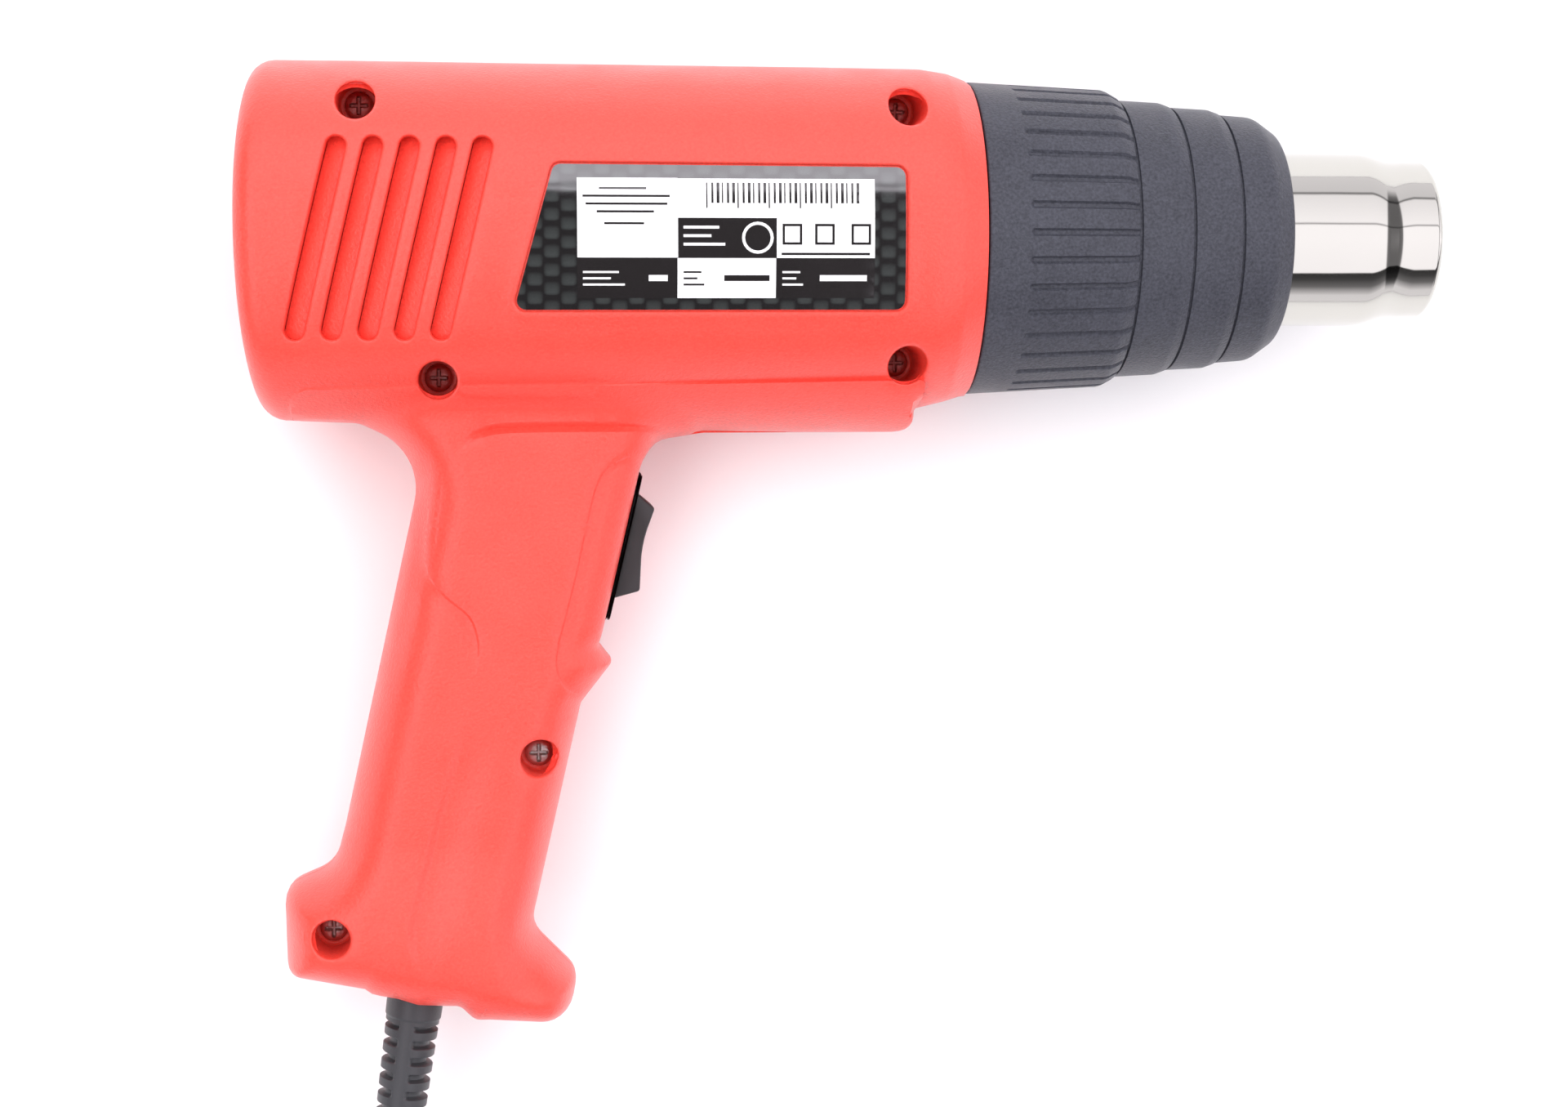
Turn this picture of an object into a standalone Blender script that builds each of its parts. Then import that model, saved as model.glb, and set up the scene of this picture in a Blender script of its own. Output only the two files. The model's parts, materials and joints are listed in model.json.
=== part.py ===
"""Hot-air gun lying on its left side: two clamped shells, steel nozzle, guard, fan, heater, cord.

Sizes are in millimetres and MM turns them into the scene's metres.  In the gun's own frame x runs
forward from the flat rear face, y runs up from the barrel's axis, and z runs from the parting
plane of the shells to the gun's right side, which faces up.
"""

import math

import bmesh
import bpy
import numpy as np
from mathutils import Matrix, Vector
from mathutils.geometry import delaunay_2d_cdt

MM = 0.001
GAP = 0.3  # clearance between neighbouring pieces

# Whole gun, without its cord
LENGTH = 253.8
TOP_Y = 36.7
LOWEST_Y = -169.0
HALF_WIDTH = 36.0
WALL = 2.6
SEAM = 0.15  # each shell stops this far from the parting plane

# Barrel: rear and front half height, centre line and side flatness
BARREL_LENGTH = 152.9
REAR_HALF_HEIGHT, FRONT_HALF_HEIGHT = 37.5, 36.2
REAR_CENTRE_Y, FRONT_CENTRE_Y = -0.8, -0.2
SIDE_FLATNESS = 2.7
REAR_ROUNDING = 5.0
FRONT_TAPER_START = 143.0
MOUTH_RADIUS = 33.6

# Saddle that wraps the barrel's underside above the grip
SADDLE_X = (16.0, 141.8)
SADDLE_BOTTOM_Y = (-39.2, -41.6)

# Grip
GRIP_SLANT = math.radians(13.2)
GRIP_HALF_THICKNESS = 18.0
LOBE_HALF_THICKNESS = 21.0
GRIP_EDGE = 18.0
SEAT_HALF_WIDTH = 9.2
PARTING_EDGE = 0.6  # narrow upright land where the shells meet

# Shell details
SCREW_PLACES = ((25.1, 27.0), (137.2, 26.4), (40.9, -29.3), (137.2, -26.4), (61.1, -108.9), (17.5, -145.8))
SCREW_WELL_RADIUS = 4.0
SCREW_POST_RADIUS = 5.6
SCREW_HEAD_RADIUS, SCREW_SHANK_RADIUS = 2.9, 1.5
SCREW_HEAD_Z = 9.0
SLOT_COUNT, SLOT_PITCH, SLOT_WIDTH = 5, 7.25, 4.0
SLOT_LOW, SLOT_HIGH = (12.7, -19.0), (21.4, 17.6)
LABEL_CORNERS = ((57.2, -14.9), (135.7, -14.9), (135.7, 13.9), (64.5, 14.2))
LABEL_DEPTH, LABEL_THICKNESS = 1.0, 0.4

# Nozzle, guard and bayonet
NOZZLE_RADIUS, OUTLET_RADIUS, NOZZLE_WALL = 18.75, 17.05, 1.0
NOZZLE_BACK = 92.5
SHOULDER_X = (238.5, 245.5)
GUARD_BACK, GUARD_FRONT = 153.2, 221.6
GROOVE_COUNT, GROOVE_WIDTH, GROOVE_DEPTH = 36, 1.3, 0.7
LUG_COUNT, LUG_SPAN, UNLOCK_TURN = 3, math.radians(24.0), math.radians(30.0)
LIP_BACK = 149.6
LIP_RADIUS, SPIGOT_RADIUS, LUG_RADIUS = 30.0, 29.6, 31.2
SPIGOT_BACK, LUG_FRONT = 146.6, 149.2
BULKHEAD_X = (126.0, 128.4)

# Switch: seat centre on the grip's front, its length along the grip and its parts
SWITCH_CENTRE = (78.95, -65.3)
BEZEL_SIZE, BEZEL_THICKNESS = (32.0, 15.0), 0.75
HOUSING_SIZE = (27.4, 12.4, 17.0)
ROCKER_LENGTH, ROCKER_WIDTH, ROCKER_PIVOT_DEPTH = 22.6, 10.8, 2.0

# Cord and what is on it
CORD_RADIUS = 3.5
RELIEF_ROOT = (34.2, -163.6)
RELIEF_LEAN = math.radians(8.0)
RELIEF_LENGTH = 46.0
FLOOR_Z = -HALF_WIDTH
COIL_CENTRE = (57.0, -325.0)
COIL_MEAN_RADIUS, COIL_HALF_BUNDLE, COIL_HEIGHT = 40.5, 10.5, 17.5
COIL_CLEARANCE = 1.6
COIL_TIE_TURN = math.radians(60.0)
PLUG_FACE = (37.0, 25.0)
PLUG_Z = FLOOR_Z + PLUG_FACE[1] / 2 + 0.05

FAN_BLADES = 7

# Cord clamp inside the grip's end
CLAMP_Y = (-153.0, -147.0)
CLAMP_SCREW_PLACES = ((28.6, -150.0), (43.6, -150.0))
CLAMP_SHANK_RADIUS = 1.1

RED = ("red_plastic", (0.78, 0.05, 0.035), 0.42, 0.0)
BLACK = ("black_plastic", (0.035, 0.036, 0.045), 0.5, 0.0)
GREY_RUBBER = ("grey_rubber", (0.06, 0.065, 0.07), 0.6, 0.0)
CHROME = ("bright_steel", (0.8, 0.8, 0.78), 0.12, 1.0)
ZINC = ("zinc", (0.62, 0.6, 0.56), 0.35, 1.0)
BRASS = ("brass", (0.72, 0.52, 0.2), 0.3, 1.0)
MICA = ("mica", (0.6, 0.53, 0.42), 0.6, 0.0)
WHITE = ("white_plastic", (0.78, 0.77, 0.72), 0.5, 0.0)
LABEL = ("label_film", (0.05, 0.05, 0.055), 0.25, 0.0)
BOARD = ("circuit_board", (0.08, 0.25, 0.1), 0.5, 0.0)
WIRE_BROWN = ("brown_wire", (0.2, 0.08, 0.03), 0.5, 0.0)
WIRE_BLUE = ("blue_wire", (0.05, 0.12, 0.5), 0.5, 0.0)


# ---------------------------------------------------------------- scene and materials

def clear_scene():
    for thing in list(bpy.data.objects):
        bpy.data.objects.remove(thing)


def gun_frame():
    """An empty at the rear end of the barrel's axis; the gun's box then stands on the origin."""
    frame = bpy.data.objects.new("gun_frame", None)
    frame.location = (-LENGTH / 2 * MM, -(TOP_Y + LOWEST_Y) / 2 * MM, HALF_WIDTH * MM)
    bpy.context.scene.collection.objects.link(frame)
    return frame


def material(finish):
    name, colour, roughness, metallic = finish
    found = bpy.data.materials.get(name)
    if found:
        return found
    made = bpy.data.materials.new(name)
    made.use_nodes = True
    shader = made.node_tree.nodes["Principled BSDF"]
    shader.inputs["Base Color"].default_value = (*colour, 1.0)
    shader.inputs["Roughness"].default_value = roughness
    shader.inputs["Metallic"].default_value = metallic
    return made


def add(name, data, finish, origin=(0, 0, 0)):
    """Links a mesh or curve under the gun's frame, with its origin at the given place."""
    thing = bpy.data.objects.new(name, data)
    data.materials.append(material(finish))
    thing.parent = FRAME
    thing.location = Vector(origin) * MM
    bpy.context.scene.collection.objects.link(thing)
    return thing


def solid(name, points, faces, finish, origin=(0, 0, 0)):
    """A closed mesh from points in the gun's frame, kept relative to its own origin."""
    base = Vector(origin)
    mesh = bpy.data.meshes.new(name)
    mesh.from_pydata([(Vector(point) - base) * MM for point in points], [], faces)
    work = bmesh.new()
    work.from_mesh(mesh)
    bmesh.ops.recalc_face_normals(work, faces=work.faces)
    work.to_mesh(mesh)
    work.free()
    mesh.shade_smooth()
    mesh.set_sharp_from_angle(angle=math.radians(30))
    return add(name, mesh, finish, origin)


# ---------------------------------------------------------------- basic solids

def turned(name, profile, finish, segments=32, origin=(0, 0, 0)):
    """Turns a closed (x, radius) loop about the barrel's axis."""
    count = len(profile)
    points = []
    for step in range(segments):
        turn = math.tau * step / segments
        points += [(x, radius * math.cos(turn), radius * math.sin(turn)) for x, radius in profile]
    faces = [
        (a * count + i, a * count + (i + 1) % count, b * count + (i + 1) % count, b * count + i)
        for a, b in ((step, (step + 1) % segments) for step in range(segments))
        for i in range(count)
    ]
    return solid(name, points, faces, finish, origin)


def lofted(name, rings, finish, origin=(0, 0, 0)):
    """Joins rings of equally many points, with flat faces on the first and the last."""
    count = len(rings[0])
    points = [point for ring in rings for point in ring]
    faces = [
        (r * count + i, r * count + (i + 1) % count, (r + 1) * count + (i + 1) % count, (r + 1) * count + i)
        for r in range(len(rings) - 1)
        for i in range(count)
    ]
    last = (len(rings) - 1) * count
    faces += [tuple(range(count))[::-1], tuple(range(last, last + count))]
    return solid(name, points, faces, finish, origin)


def prism(name, outline, low, high, finish, origin=(0, 0, 0)):
    """An outline in x and y, extruded along z."""
    return lofted(name, [[(x, y, z) for x, y in outline] for z in (low, high)], finish, origin)


def circle(radius, count, centre=(0.0, 0.0)):
    turns = [math.tau * step / count for step in range(count)]
    return [(centre[0] + radius * math.cos(t), centre[1] + radius * math.sin(t)) for t in turns]


def cylinder(name, start, end, radius, finish, count=16, end_radius=None):
    """A round bar between two points, or a cone where end_radius is given."""
    start, end = Vector(start), Vector(end)
    turn = (end - start).to_track_quat("Z", "Y")
    rings = [
        [place + turn @ Vector((x, y, 0)) for x, y in circle(size, count)]
        for place, size in ((start, radius), (end, end_radius or radius))
    ]
    return lofted(name, rings, finish)


def box(name, low, high, finish):
    outline = [(low[0], low[1]), (high[0], low[1]), (high[0], high[1]), (low[0], high[1])]
    return prism(name, outline, low[2], high[2], finish)


def combine(target, other, operation):
    """Applies one Boolean of the target with the other solid, which is then removed."""
    step = target.modifiers.new("shape", "BOOLEAN")
    step.operation = operation
    step.solver = "EXACT"
    step.object = other
    graph = bpy.context.evaluated_depsgraph_get()
    mesh = bpy.data.meshes.new_from_object(target.evaluated_get(graph))
    target.modifiers.remove(step)
    target.data = mesh
    bpy.data.objects.remove(other)
    return target


def cut(target, other):
    return combine(target, other, "DIFFERENCE")


def join(target, other):
    return combine(target, other, "UNION")


def keep(target, other):
    return combine(target, other, "INTERSECT")


# ---------------------------------------------------------------- outlines

def rounded(corners, spacing=3.0):
    """An outline whose corners, given as (x, y, radius), are arcs."""
    outline = []
    for before, corner, after in zip(corners[-1:] + corners[:-1], corners, corners[1:] + corners[:1]):
        here = Vector(corner[:2])
        arriving = (here - Vector(before[:2])).normalized()
        leaving = (Vector(after[:2]) - here).normalized()
        bend = math.atan2(arriving.x * leaving.y - arriving.y * leaving.x, arriving.dot(leaving))
        radius = corner[2]
        if radius == 0 or abs(bend) < 0.02:
            outline.append(tuple(here))
            continue
        reach = radius * math.tan(abs(bend) / 2)
        side = math.copysign(1.0, bend)
        centre = here - arriving * reach + Vector((-arriving.y, arriving.x)) * side * radius
        steps = max(2, round(radius * abs(bend) / spacing))
        first = here - arriving * reach - centre
        for step in range(steps + 1):
            turn = Matrix.Rotation(bend * step / steps, 2)
            outline.append(tuple(centre + turn @ first))
    return outline


def divided(outline, longest):
    """The outline with points added so that no side is longer than given."""
    points = []
    for here, after in zip(outline, outline[1:] + outline[:1]):
        parts = max(1, math.ceil(math.dist(here, after) / longest))
        points += [tuple(Vector(here).lerp(Vector(after), part / parts)) for part in range(parts)]
    return points


def distance_inside(points, outline):
    """Each point's distance to the nearest edge of the outline."""
    points = np.asarray(points, float)
    starts = np.asarray(outline, float)
    sides = np.roll(starts, -1, axis=0) - starts
    offset = points[:, None, :] - starts[None]
    along = np.clip((offset * sides).sum(2) / (sides**2).sum(1), 0, 1)
    return np.linalg.norm(offset - along[..., None] * sides, axis=2).min(1)


def contains(outline, x, y):
    inside = False
    for (x1, y1), (x2, y2) in zip(outline, outline[1:] + outline[:1]):
        if (y1 > y) != (y2 > y) and x < (x2 - x1) * (y - y1) / (y2 - y1) + x1:
            inside = not inside
    return inside


def inward(outline, distance):
    """The outline's points moved inward, without those that would cross another side."""
    moved = []
    for before, here, after in zip(outline[-1:] + outline[:-1], outline, outline[1:] + outline[:1]):
        arriving = (Vector(here) - Vector(before)).normalized()
        leaving = (Vector(after) - Vector(here)).normalized()
        step = Vector((-arriving.y - leaving.y, arriving.x + leaving.x)) / (1 + arriving.dot(leaving))
        moved.append(tuple(Vector(here) + step * distance))
    near = distance_inside(moved, outline)
    return [
        point for point, gap in zip(moved, near) if gap > 0.97 * distance and contains(outline, *point)
    ]


def grip_outline(inset=0.0):
    """The grip seen from the side, anticlockwise, with its root inside the barrel."""
    corners = [
        (85.0, -22.0, 0), (38.0, -22.0, 0), (38.0, -30.0, 0), (20.0, -36.5, 0), (24.0, -38.7, 6),
        (37.6, -45.5, 13), (20.0, -124.5, 30), (17.6, -133.5, 8), (6.9, -138.0, 5), (7.3, -156.6, 3.5),
        (43.5, -165.3, 12), (50.5, -168.2, 10), (66.8, -169.4, 4.5), (68.6, -155.6, 4.5),
        (59.3, -148.0, 6), (70.4, -99.0, 5), (77.2, -90.0, 1.5), (*seat_point(21.3, 0)[:2], 1.5),
        (*seat_point(-22.6, 0)[:2], 9),
        (97.0, -41.4, 4), (97.0, -34.0, 0),
    ]
    outline = divided(rounded(corners), 8.0)
    return outline if inset == 0 else inward(outline, inset)


# ---------------------------------------------------------------- shell shapes

def blend(low, high, share):
    return low + (high - low) * min(1.0, max(0.0, share))


def barrel_section(x, inset):
    """Half height, half width, centre height and flatness of the barrel at x."""
    share = x / BARREL_LENGTH
    height = blend(REAR_HALF_HEIGHT, FRONT_HALF_HEIGHT, share)
    width = HALF_WIDTH
    taper = max(0.0, (x - FRONT_TAPER_START) / (BARREL_LENGTH - FRONT_TAPER_START))
    height = blend(height, MOUTH_RADIUS, taper**1.6)
    width = blend(width, MOUTH_RADIUS, taper**1.6)
    flatness = blend(SIDE_FLATNESS, 2.0, taper)
    depth = max(0.0, 1 - (x - inset) / REAR_ROUNDING)
    shrink = REAR_ROUNDING * (1 - math.sqrt(1 - depth**2)) + inset
    return height - shrink, width - shrink, blend(REAR_CENTRE_Y, FRONT_CENTRE_Y, share), flatness


def section_ring(x, height, width, centre, flatness, first_turn=0, last_turn=360, steps=32):
    """A barrel section as a ring, or the part of it between two turns from the right side."""
    closed = last_turn - first_turn == 360
    ring = []
    for step in range(steps if closed else steps + 1):
        turn = math.radians(blend(first_turn, last_turn, step / steps))
        side, up = math.cos(turn), math.sin(turn)
        up = math.copysign(abs(up) ** (2 / flatness), up) if abs(up) > 1e-9 else 0.0
        ring.append((x, centre + height * up, width * side))
    return ring


def barrel_body(name, inset=0.0, start=0.0, end=BARREL_LENGTH):
    """The barrel between two stations, or its cavity where inset is the wall."""
    start += inset if start == 0 else 0
    curve = [REAR_ROUNDING * share for share in (0.08, 0.28, 0.6, 1.0)]
    places = [inset + x for x in curve] + [40.0, 75.0, 110.0, FRONT_TAPER_START, 146.5, 149.8]
    stations = [start] + [x for x in places if start < x < end] + [end]
    return lofted(name, [section_ring(x, *barrel_section(x, inset)) for x in stations], RED)


def saddle_body(name, inset=0.0):
    """The wrap under the barrel, a millimetre proud at its sides."""
    rings = []
    for x in (SADDLE_X[0], 40.0, 90.0, SADDLE_X[1] - 1.5, SADDLE_X[1]):
        height, width, centre, flatness = barrel_section(x, inset)
        share = (x - SADDLE_X[0]) / (SADDLE_X[1] - SADDLE_X[0])
        bottom = blend(*SADDLE_BOTTOM_Y, share) + (1.2 if x == SADDLE_X[1] else 0.0) + inset
        rings.append(section_ring(x, centre - bottom, width - 0.2, centre, flatness, -160, -20, 18))
    return lofted(name, rings, RED)


def grip_height(point, distance, inset):
    """How far the grip's side stands from the parting plane, from the distance to its outline."""
    x, y = point
    lobe = blend(0, 1, (-128 - y) / 14)
    thickness = blend(GRIP_HALF_THICKNESS, LOBE_HALF_THICKNESS, lobe) - inset
    along_front = x - (SWITCH_CENTRE[0] + (y - SWITCH_CENTRE[1]) * math.tan(GRIP_SLANT))
    seat = (along_front > -6) and (-89 < y < -44)
    base = SEAT_HALF_WIDTH - inset if seat else PARTING_EDGE
    share = min(1.0, distance / GRIP_EDGE)
    return base + (thickness - base) * math.sqrt(max(0.0, 1 - (1 - share) ** 2.4))


def grip_body(name, inset=0.0):
    """The grip: its side outline, domed on both sides from the edge inwards."""
    outline = grip_outline(inset)
    loops = [outline] + [inward(outline, distance) for distance in (1.2, 5.5)]
    points = [point for loop in loops for point in loop]
    spacing = 8.0
    for column in range(13):
        for row in range(20):
            point = (4 + column * spacing, -166 + row * spacing)
            if contains(outline, *point) and distance_inside([point], outline)[0] > 9:
                points.append(point)
    rim = list(range(len(outline)))
    flat, _, faces, *_ = delaunay_2d_cdt([Vector(p) for p in points], [], [rim], 1, 1e-4, False)
    flat = [tuple(point) for point in flat]
    middles = [np.mean([flat[i] for i in face], axis=0) for face in faces]
    faces = [face for face, middle in zip(faces, middles) if contains(outline, *middle)]
    heights = [grip_height(p, d, inset) for p, d in zip(flat, distance_inside(flat, outline))]
    count = len(flat)
    points = [(x, y, side * z) for side in (1, -1) for (x, y), z in zip(flat, heights)]
    closed = [tuple(face) for face in faces] + [tuple(i + count for i in face)[::-1] for face in faces]
    sides = {pair for face in faces for pair in zip(face, tuple(face[1:]) + (face[0],))}
    closed += [(b, a, a + count, b + count) for a, b in sorted(sides) if (b, a) not in sides]
    return solid(name, points, closed, RED)


# ---------------------------------------------------------------- shells

def along_z(name, place, radius, low, high, count=12):
    return cylinder(name, (*place, low), (*place, high), radius, RED, count)


def slot_cutter(index):
    """One slanted cooling slot with round ends, through the side wall."""
    shift = index * SLOT_PITCH
    low = Vector((SLOT_LOW[0] + shift, SLOT_LOW[1]))
    high = Vector((SLOT_HIGH[0] + shift, SLOT_HIGH[1]))
    run = (high - low).normalized()
    side = Vector((-run.y, run.x)) * SLOT_WIDTH / 2
    outline = []
    for end, outward in ((high, run), (low, -run)):
        edge = -side if end is high else side
        for step in range(5):
            turn = math.pi * step / 4
            outline.append(tuple(end + edge * math.cos(turn) + outward * SLOT_WIDTH / 2 * math.sin(turn)))
    return prism("slot", outline, 15.0, 45.0, RED)


def label_prism(name, low, high, clearance):
    corners = [(x, y, 2.0) for x, y in LABEL_CORNERS]
    outline = rounded(corners, 1.0)
    if clearance:
        outline = inward(outline, clearance)
    return prism(name, outline, low, high, LABEL)


def seat_point(along, outward, side=0.0):
    """A point near the switch: down the grip, out of its front face, and across."""
    lean = GRIP_SLANT
    x = SWITCH_CENTRE[0] - along * math.sin(lean) + outward * math.cos(lean)
    y = SWITCH_CENTRE[1] - along * math.cos(lean) - outward * math.sin(lean)
    return (x, y, side)


def seat_box(name, size, outward_low, outward_high, finish):
    """A box set square to the switch seat."""
    length, width = size
    rings = []
    for side in (-width / 2, width / 2):
        corners = ((-1, outward_low), (1, outward_low), (1, outward_high), (-1, outward_high))
        rings.append([seat_point(sign * length / 2, outward, side) for sign, outward in corners])
    return lofted(name, rings, finish)


def relief_point(along):
    """A point on the strain relief's axis, measured outwards from the grip's end."""
    return (
        RELIEF_ROOT[0] - along * math.sin(RELIEF_LEAN),
        RELIEF_ROOT[1] - along * math.cos(RELIEF_LEAN),
        0.0,
    )


def outer_body(name):
    body = barrel_body(name)
    join(body, saddle_body("saddle"))
    return join(body, grip_body("grip"))


def cavity_body():
    """The space inside one shell, with the screw posts and the bulkhead left standing."""
    cavity = barrel_body("cavity", WALL, 0.0, BULKHEAD_X[0])
    join(cavity, grip_body("grip", WALL))
    for place in SCREW_PLACES:
        if place[0] < BULKHEAD_X[0]:
            cut(cavity, along_z("post", place, SCREW_POST_RADIUS, -1, 40))
    front = barrel_body("front", WALL, BULKHEAD_X[1], LIP_BACK)
    for place in SCREW_PLACES:
        if place[0] > BULKHEAD_X[1]:
            cut(front, along_z("post", place, SCREW_POST_RADIUS, -1, 40))
    return cavity, front


def sector(name, inner, outer, x_low, x_high, middle, span):
    """A block that follows a ring about the barrel's axis."""
    rings = []
    for step in range(5):
        turn = middle + span * (step / 4 - 0.5)
        rings.append([
            (x, radius * math.cos(turn), radius * math.sin(turn))
            for x, radius in ((x_low, inner), (x_high, inner), (x_high, outer), (x_low, outer))
        ])
    return lofted(name, rings, BLACK)


def lug_turns():
    return [math.tau * index / LUG_COUNT for index in range(LUG_COUNT)]


def shell(name, right):
    """One clamped half; the left one is mirrored and takes the screws' threads."""
    body = outer_body(name)
    for hollow in cavity_body():
        cut(body, hollow)
    cut(body, cylinder("tube", (120, 0, 0), (135, 0, 0), NOZZLE_RADIUS + GAP, RED, 32))
    cut(body, cylinder("mouth", (LIP_BACK - 1, 0, 0), (160, 0, 0), LIP_RADIUS, RED, 40))
    for turn in lug_turns():
        side = 1 if right else -1
        middle = side * (turn + UNLOCK_TURN)
        cut(body, sector("notch", 25, LUG_RADIUS + GAP, LIP_BACK - 1, 160, middle, LUG_SPAN + 0.07))
    for place in SCREW_PLACES:
        if right:
            cut(body, along_z("well", place, SCREW_WELL_RADIUS, SCREW_HEAD_Z - 2.2, 45))
            cut(body, along_z("hole", place, SCREW_SHANK_RADIUS + GAP, -1, 15, 12))
        else:
            cut(body, along_z("hole", place, SCREW_SHANK_RADIUS + GAP, -1, 13, 12))
    for index in range(SLOT_COUNT):
        cut(body, slot_cutter(index))
    if right:
        recess = label_prism("recess", 20, 45, 0)
        core = barrel_body("core", LABEL_DEPTH, 50.0, 142.0)
        cut(recess, core)
        cut(body, recess)
    cut(body, seat_box("cutout", (HOUSING_SIZE[0] + 2 * GAP, HOUSING_SIZE[1] + 2 * GAP), -12, 9, RED))
    cut(body, cylinder("gland", relief_point(-3.8), relief_point(9), 6.1 + GAP, RED, 16))
    cut(body, cylinder("pocket", relief_point(-9), relief_point(-3.4), 7.6 + GAP, RED, 16))
    if not right:
        for place in CLAMP_SCREW_PLACES:
            join(body, along_z("boss", place, 3.4, 0.4, 19.6, 12))
            cut(body, along_z("hole", place, CLAMP_SHANK_RADIUS + GAP, -1, 12, 12))
    cut(body, box("seam", (-20, -200, -60), (200, 80, SEAM), RED))
    if not right:
        body.data.transform(Matrix.Scale(-1, 4, (0, 0, 1)))
        body.data.flip_normals()
    return body


# ---------------------------------------------------------------- outside pieces

def front_guard():
    """Stepped guard with grip grooves, held in the shells' mouth by three bayonet lugs."""
    outside = [
        (SPIGOT_BACK, SPIGOT_RADIUS), (GUARD_BACK, SPIGOT_RADIUS), (GUARD_BACK, 33.3), (182.6, 31.9),
        (185.5, 30.0), (193.5, 29.4), (197.0, 28.5), (204.8, 28.0), (208.0, 26.9), (215.2, 26.3),
        (218.6, 25.0), (220.9, 22.6), (GUARD_FRONT, 20.6), (GUARD_FRONT, 19.9),
    ]
    inside = [
        (218.6, 19.9), (216.0, 23.4), (198.0, 25.2), (184.0, 27.3), (SPIGOT_BACK, 27.3),
    ]
    guard = turned("front_guard", outside + inside, BLACK, 40)
    for turn in lug_turns():
        join(guard, sector("lug", 28.5, LUG_RADIUS, SPIGOT_BACK, LUG_FRONT, turn, LUG_SPAN))
    grooves = bmesh.new()
    for index in range(GROOVE_COUNT):
        floor = 31.9 - GROOVE_DEPTH
        size = Matrix.Diagonal((26.0 * MM, 4.0 * MM, GROOVE_WIDTH * MM, 1.0))
        place = Matrix.Translation(Vector((174.5, floor + 2.0, 0)) * MM)
        turn = Matrix.Rotation(math.tau * (index + 0.5) / GROOVE_COUNT, 4, "X")
        bmesh.ops.create_cube(grooves, size=1.0, matrix=turn @ place @ size)
    mesh = bpy.data.meshes.new("grooves")
    grooves.to_mesh(mesh)
    grooves.free()
    return cut(guard, add("grooves", mesh, BLACK))


def nozzle_tube():
    outside = [
        (NOZZLE_BACK, NOZZLE_RADIUS), (SHOULDER_X[0], NOZZLE_RADIUS), (242.0, 18.1),
        (SHOULDER_X[1], OUTLET_RADIUS), (LENGTH, OUTLET_RADIUS),
    ]
    inside = [(x - 0.4 * (x < LENGTH) * (x > NOZZLE_BACK), r - NOZZLE_WALL) for x, r in outside[::-1]]
    return turned("nozzle_tube", outside + inside, CHROME, 48)


def rating_label():
    """A thin film that follows the barrel's side inside its recess."""
    label = label_prism("rating_label", 20, 45, GAP)
    keep(label, barrel_body("face", LABEL_DEPTH - GAP - LABEL_THICKNESS, 50.0, 142.0))
    return cut(label, barrel_body("core", LABEL_DEPTH - GAP, 49.0, 142.5))


def screw(name, place, head_radius, shank_radius, seat_z, head_height, length):
    """A pan-head screw along z with a cross recess."""
    profile = [
        (seat_z - length, 0.3), (seat_z - length + 1.5, shank_radius), (seat_z, shank_radius),
        (seat_z, head_radius), (seat_z + head_height * 0.6, head_radius),
        (seat_z + head_height, head_radius * 0.55),
    ]
    rings = [[(*xy, z) for xy in circle(radius, 12, place)] for z, radius in profile]
    body = lofted(name, rings, ZINC)
    reach, half = head_radius * 0.55, head_radius * 0.12
    for size_x, size_y in ((reach, half), (half, reach)):
        low = (place[0] - size_x, place[1] - size_y, seat_z + head_height * 0.45)
        high = (place[0] + size_x, place[1] + size_y, seat_z + head_height + 1)
        cut(body, box("cross", low, high, ZINC))
    return body


def strain_relief():
    """Moulded sleeve on the cord: a flange inside the grip, then a ribbed taper outside."""
    profile = [(-5.6, 7.6), (-3.8, 7.6), (-3.8, 6.1), (3.2, 6.1)]
    rib_pitch = 3.75
    for rib in range(int((RELIEF_LENGTH - 6) / rib_pitch)):
        start = 4.4 + rib * rib_pitch
        size = 6.0 - 1.3 * start / RELIEF_LENGTH
        profile += [(start, size - 0.9), (start + 1.5, size - 0.9), (start + 1.5, size), (start + 3.4, size)]
    profile.append((RELIEF_LENGTH, 4.6))
    axis = Vector(relief_point(1)) - Vector(relief_point(0))
    turn = axis.to_track_quat("Z", "Y")
    rings = []
    for along, radius in profile:
        centre = Vector(relief_point(along))
        rings.append([centre + turn @ Vector((x, y, 0)) for x, y in circle(radius, 12)])
    return lofted("strain_relief", rings, GREY_RUBBER)


def switch_body():
    """Snap-in switch housing, hollow under the rocker, with its bezel on the grip."""
    body = seat_box("switch_body", HOUSING_SIZE[:2], -HOUSING_SIZE[2], -0.2, BLACK)
    join(body, seat_box("bezel", BEZEL_SIZE, GAP, BEZEL_THICKNESS + GAP, BLACK))
    join(body, seat_box("neck", (26.4, 12.0), -1.0, 0.5, BLACK))
    return cut(body, seat_box("well", (24.6, ROCKER_WIDTH + 2 * GAP), -8.2, 5.0, BLACK))


def rocker():
    """Three-position rocker with a hollow finger face, turning on the switch's cross pin."""
    half = ROCKER_LENGTH / 2
    face = [(half - 2.2, 5.6), (half - 5.2, 4.9), (half - 8.6, 4.45), (0.0, 4.3)]
    upper = [(half - 0.7, -2.2), (half, 1.2)] + face
    outline = upper + [(-along, out) for along, out in upper[-2::-1]] + [(-4.0, -5.2), (4.0, -5.2)]
    pivot = Vector(seat_point(0, -ROCKER_PIVOT_DEPTH))
    rings = []
    for side in (-ROCKER_WIDTH / 2, ROCKER_WIDTH / 2):
        rings.append([seat_point(along, outward, side) for along, outward in outline])
    return lofted("rocker", rings, BLACK, pivot)


# ---------------------------------------------------------------- inside pieces

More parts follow.
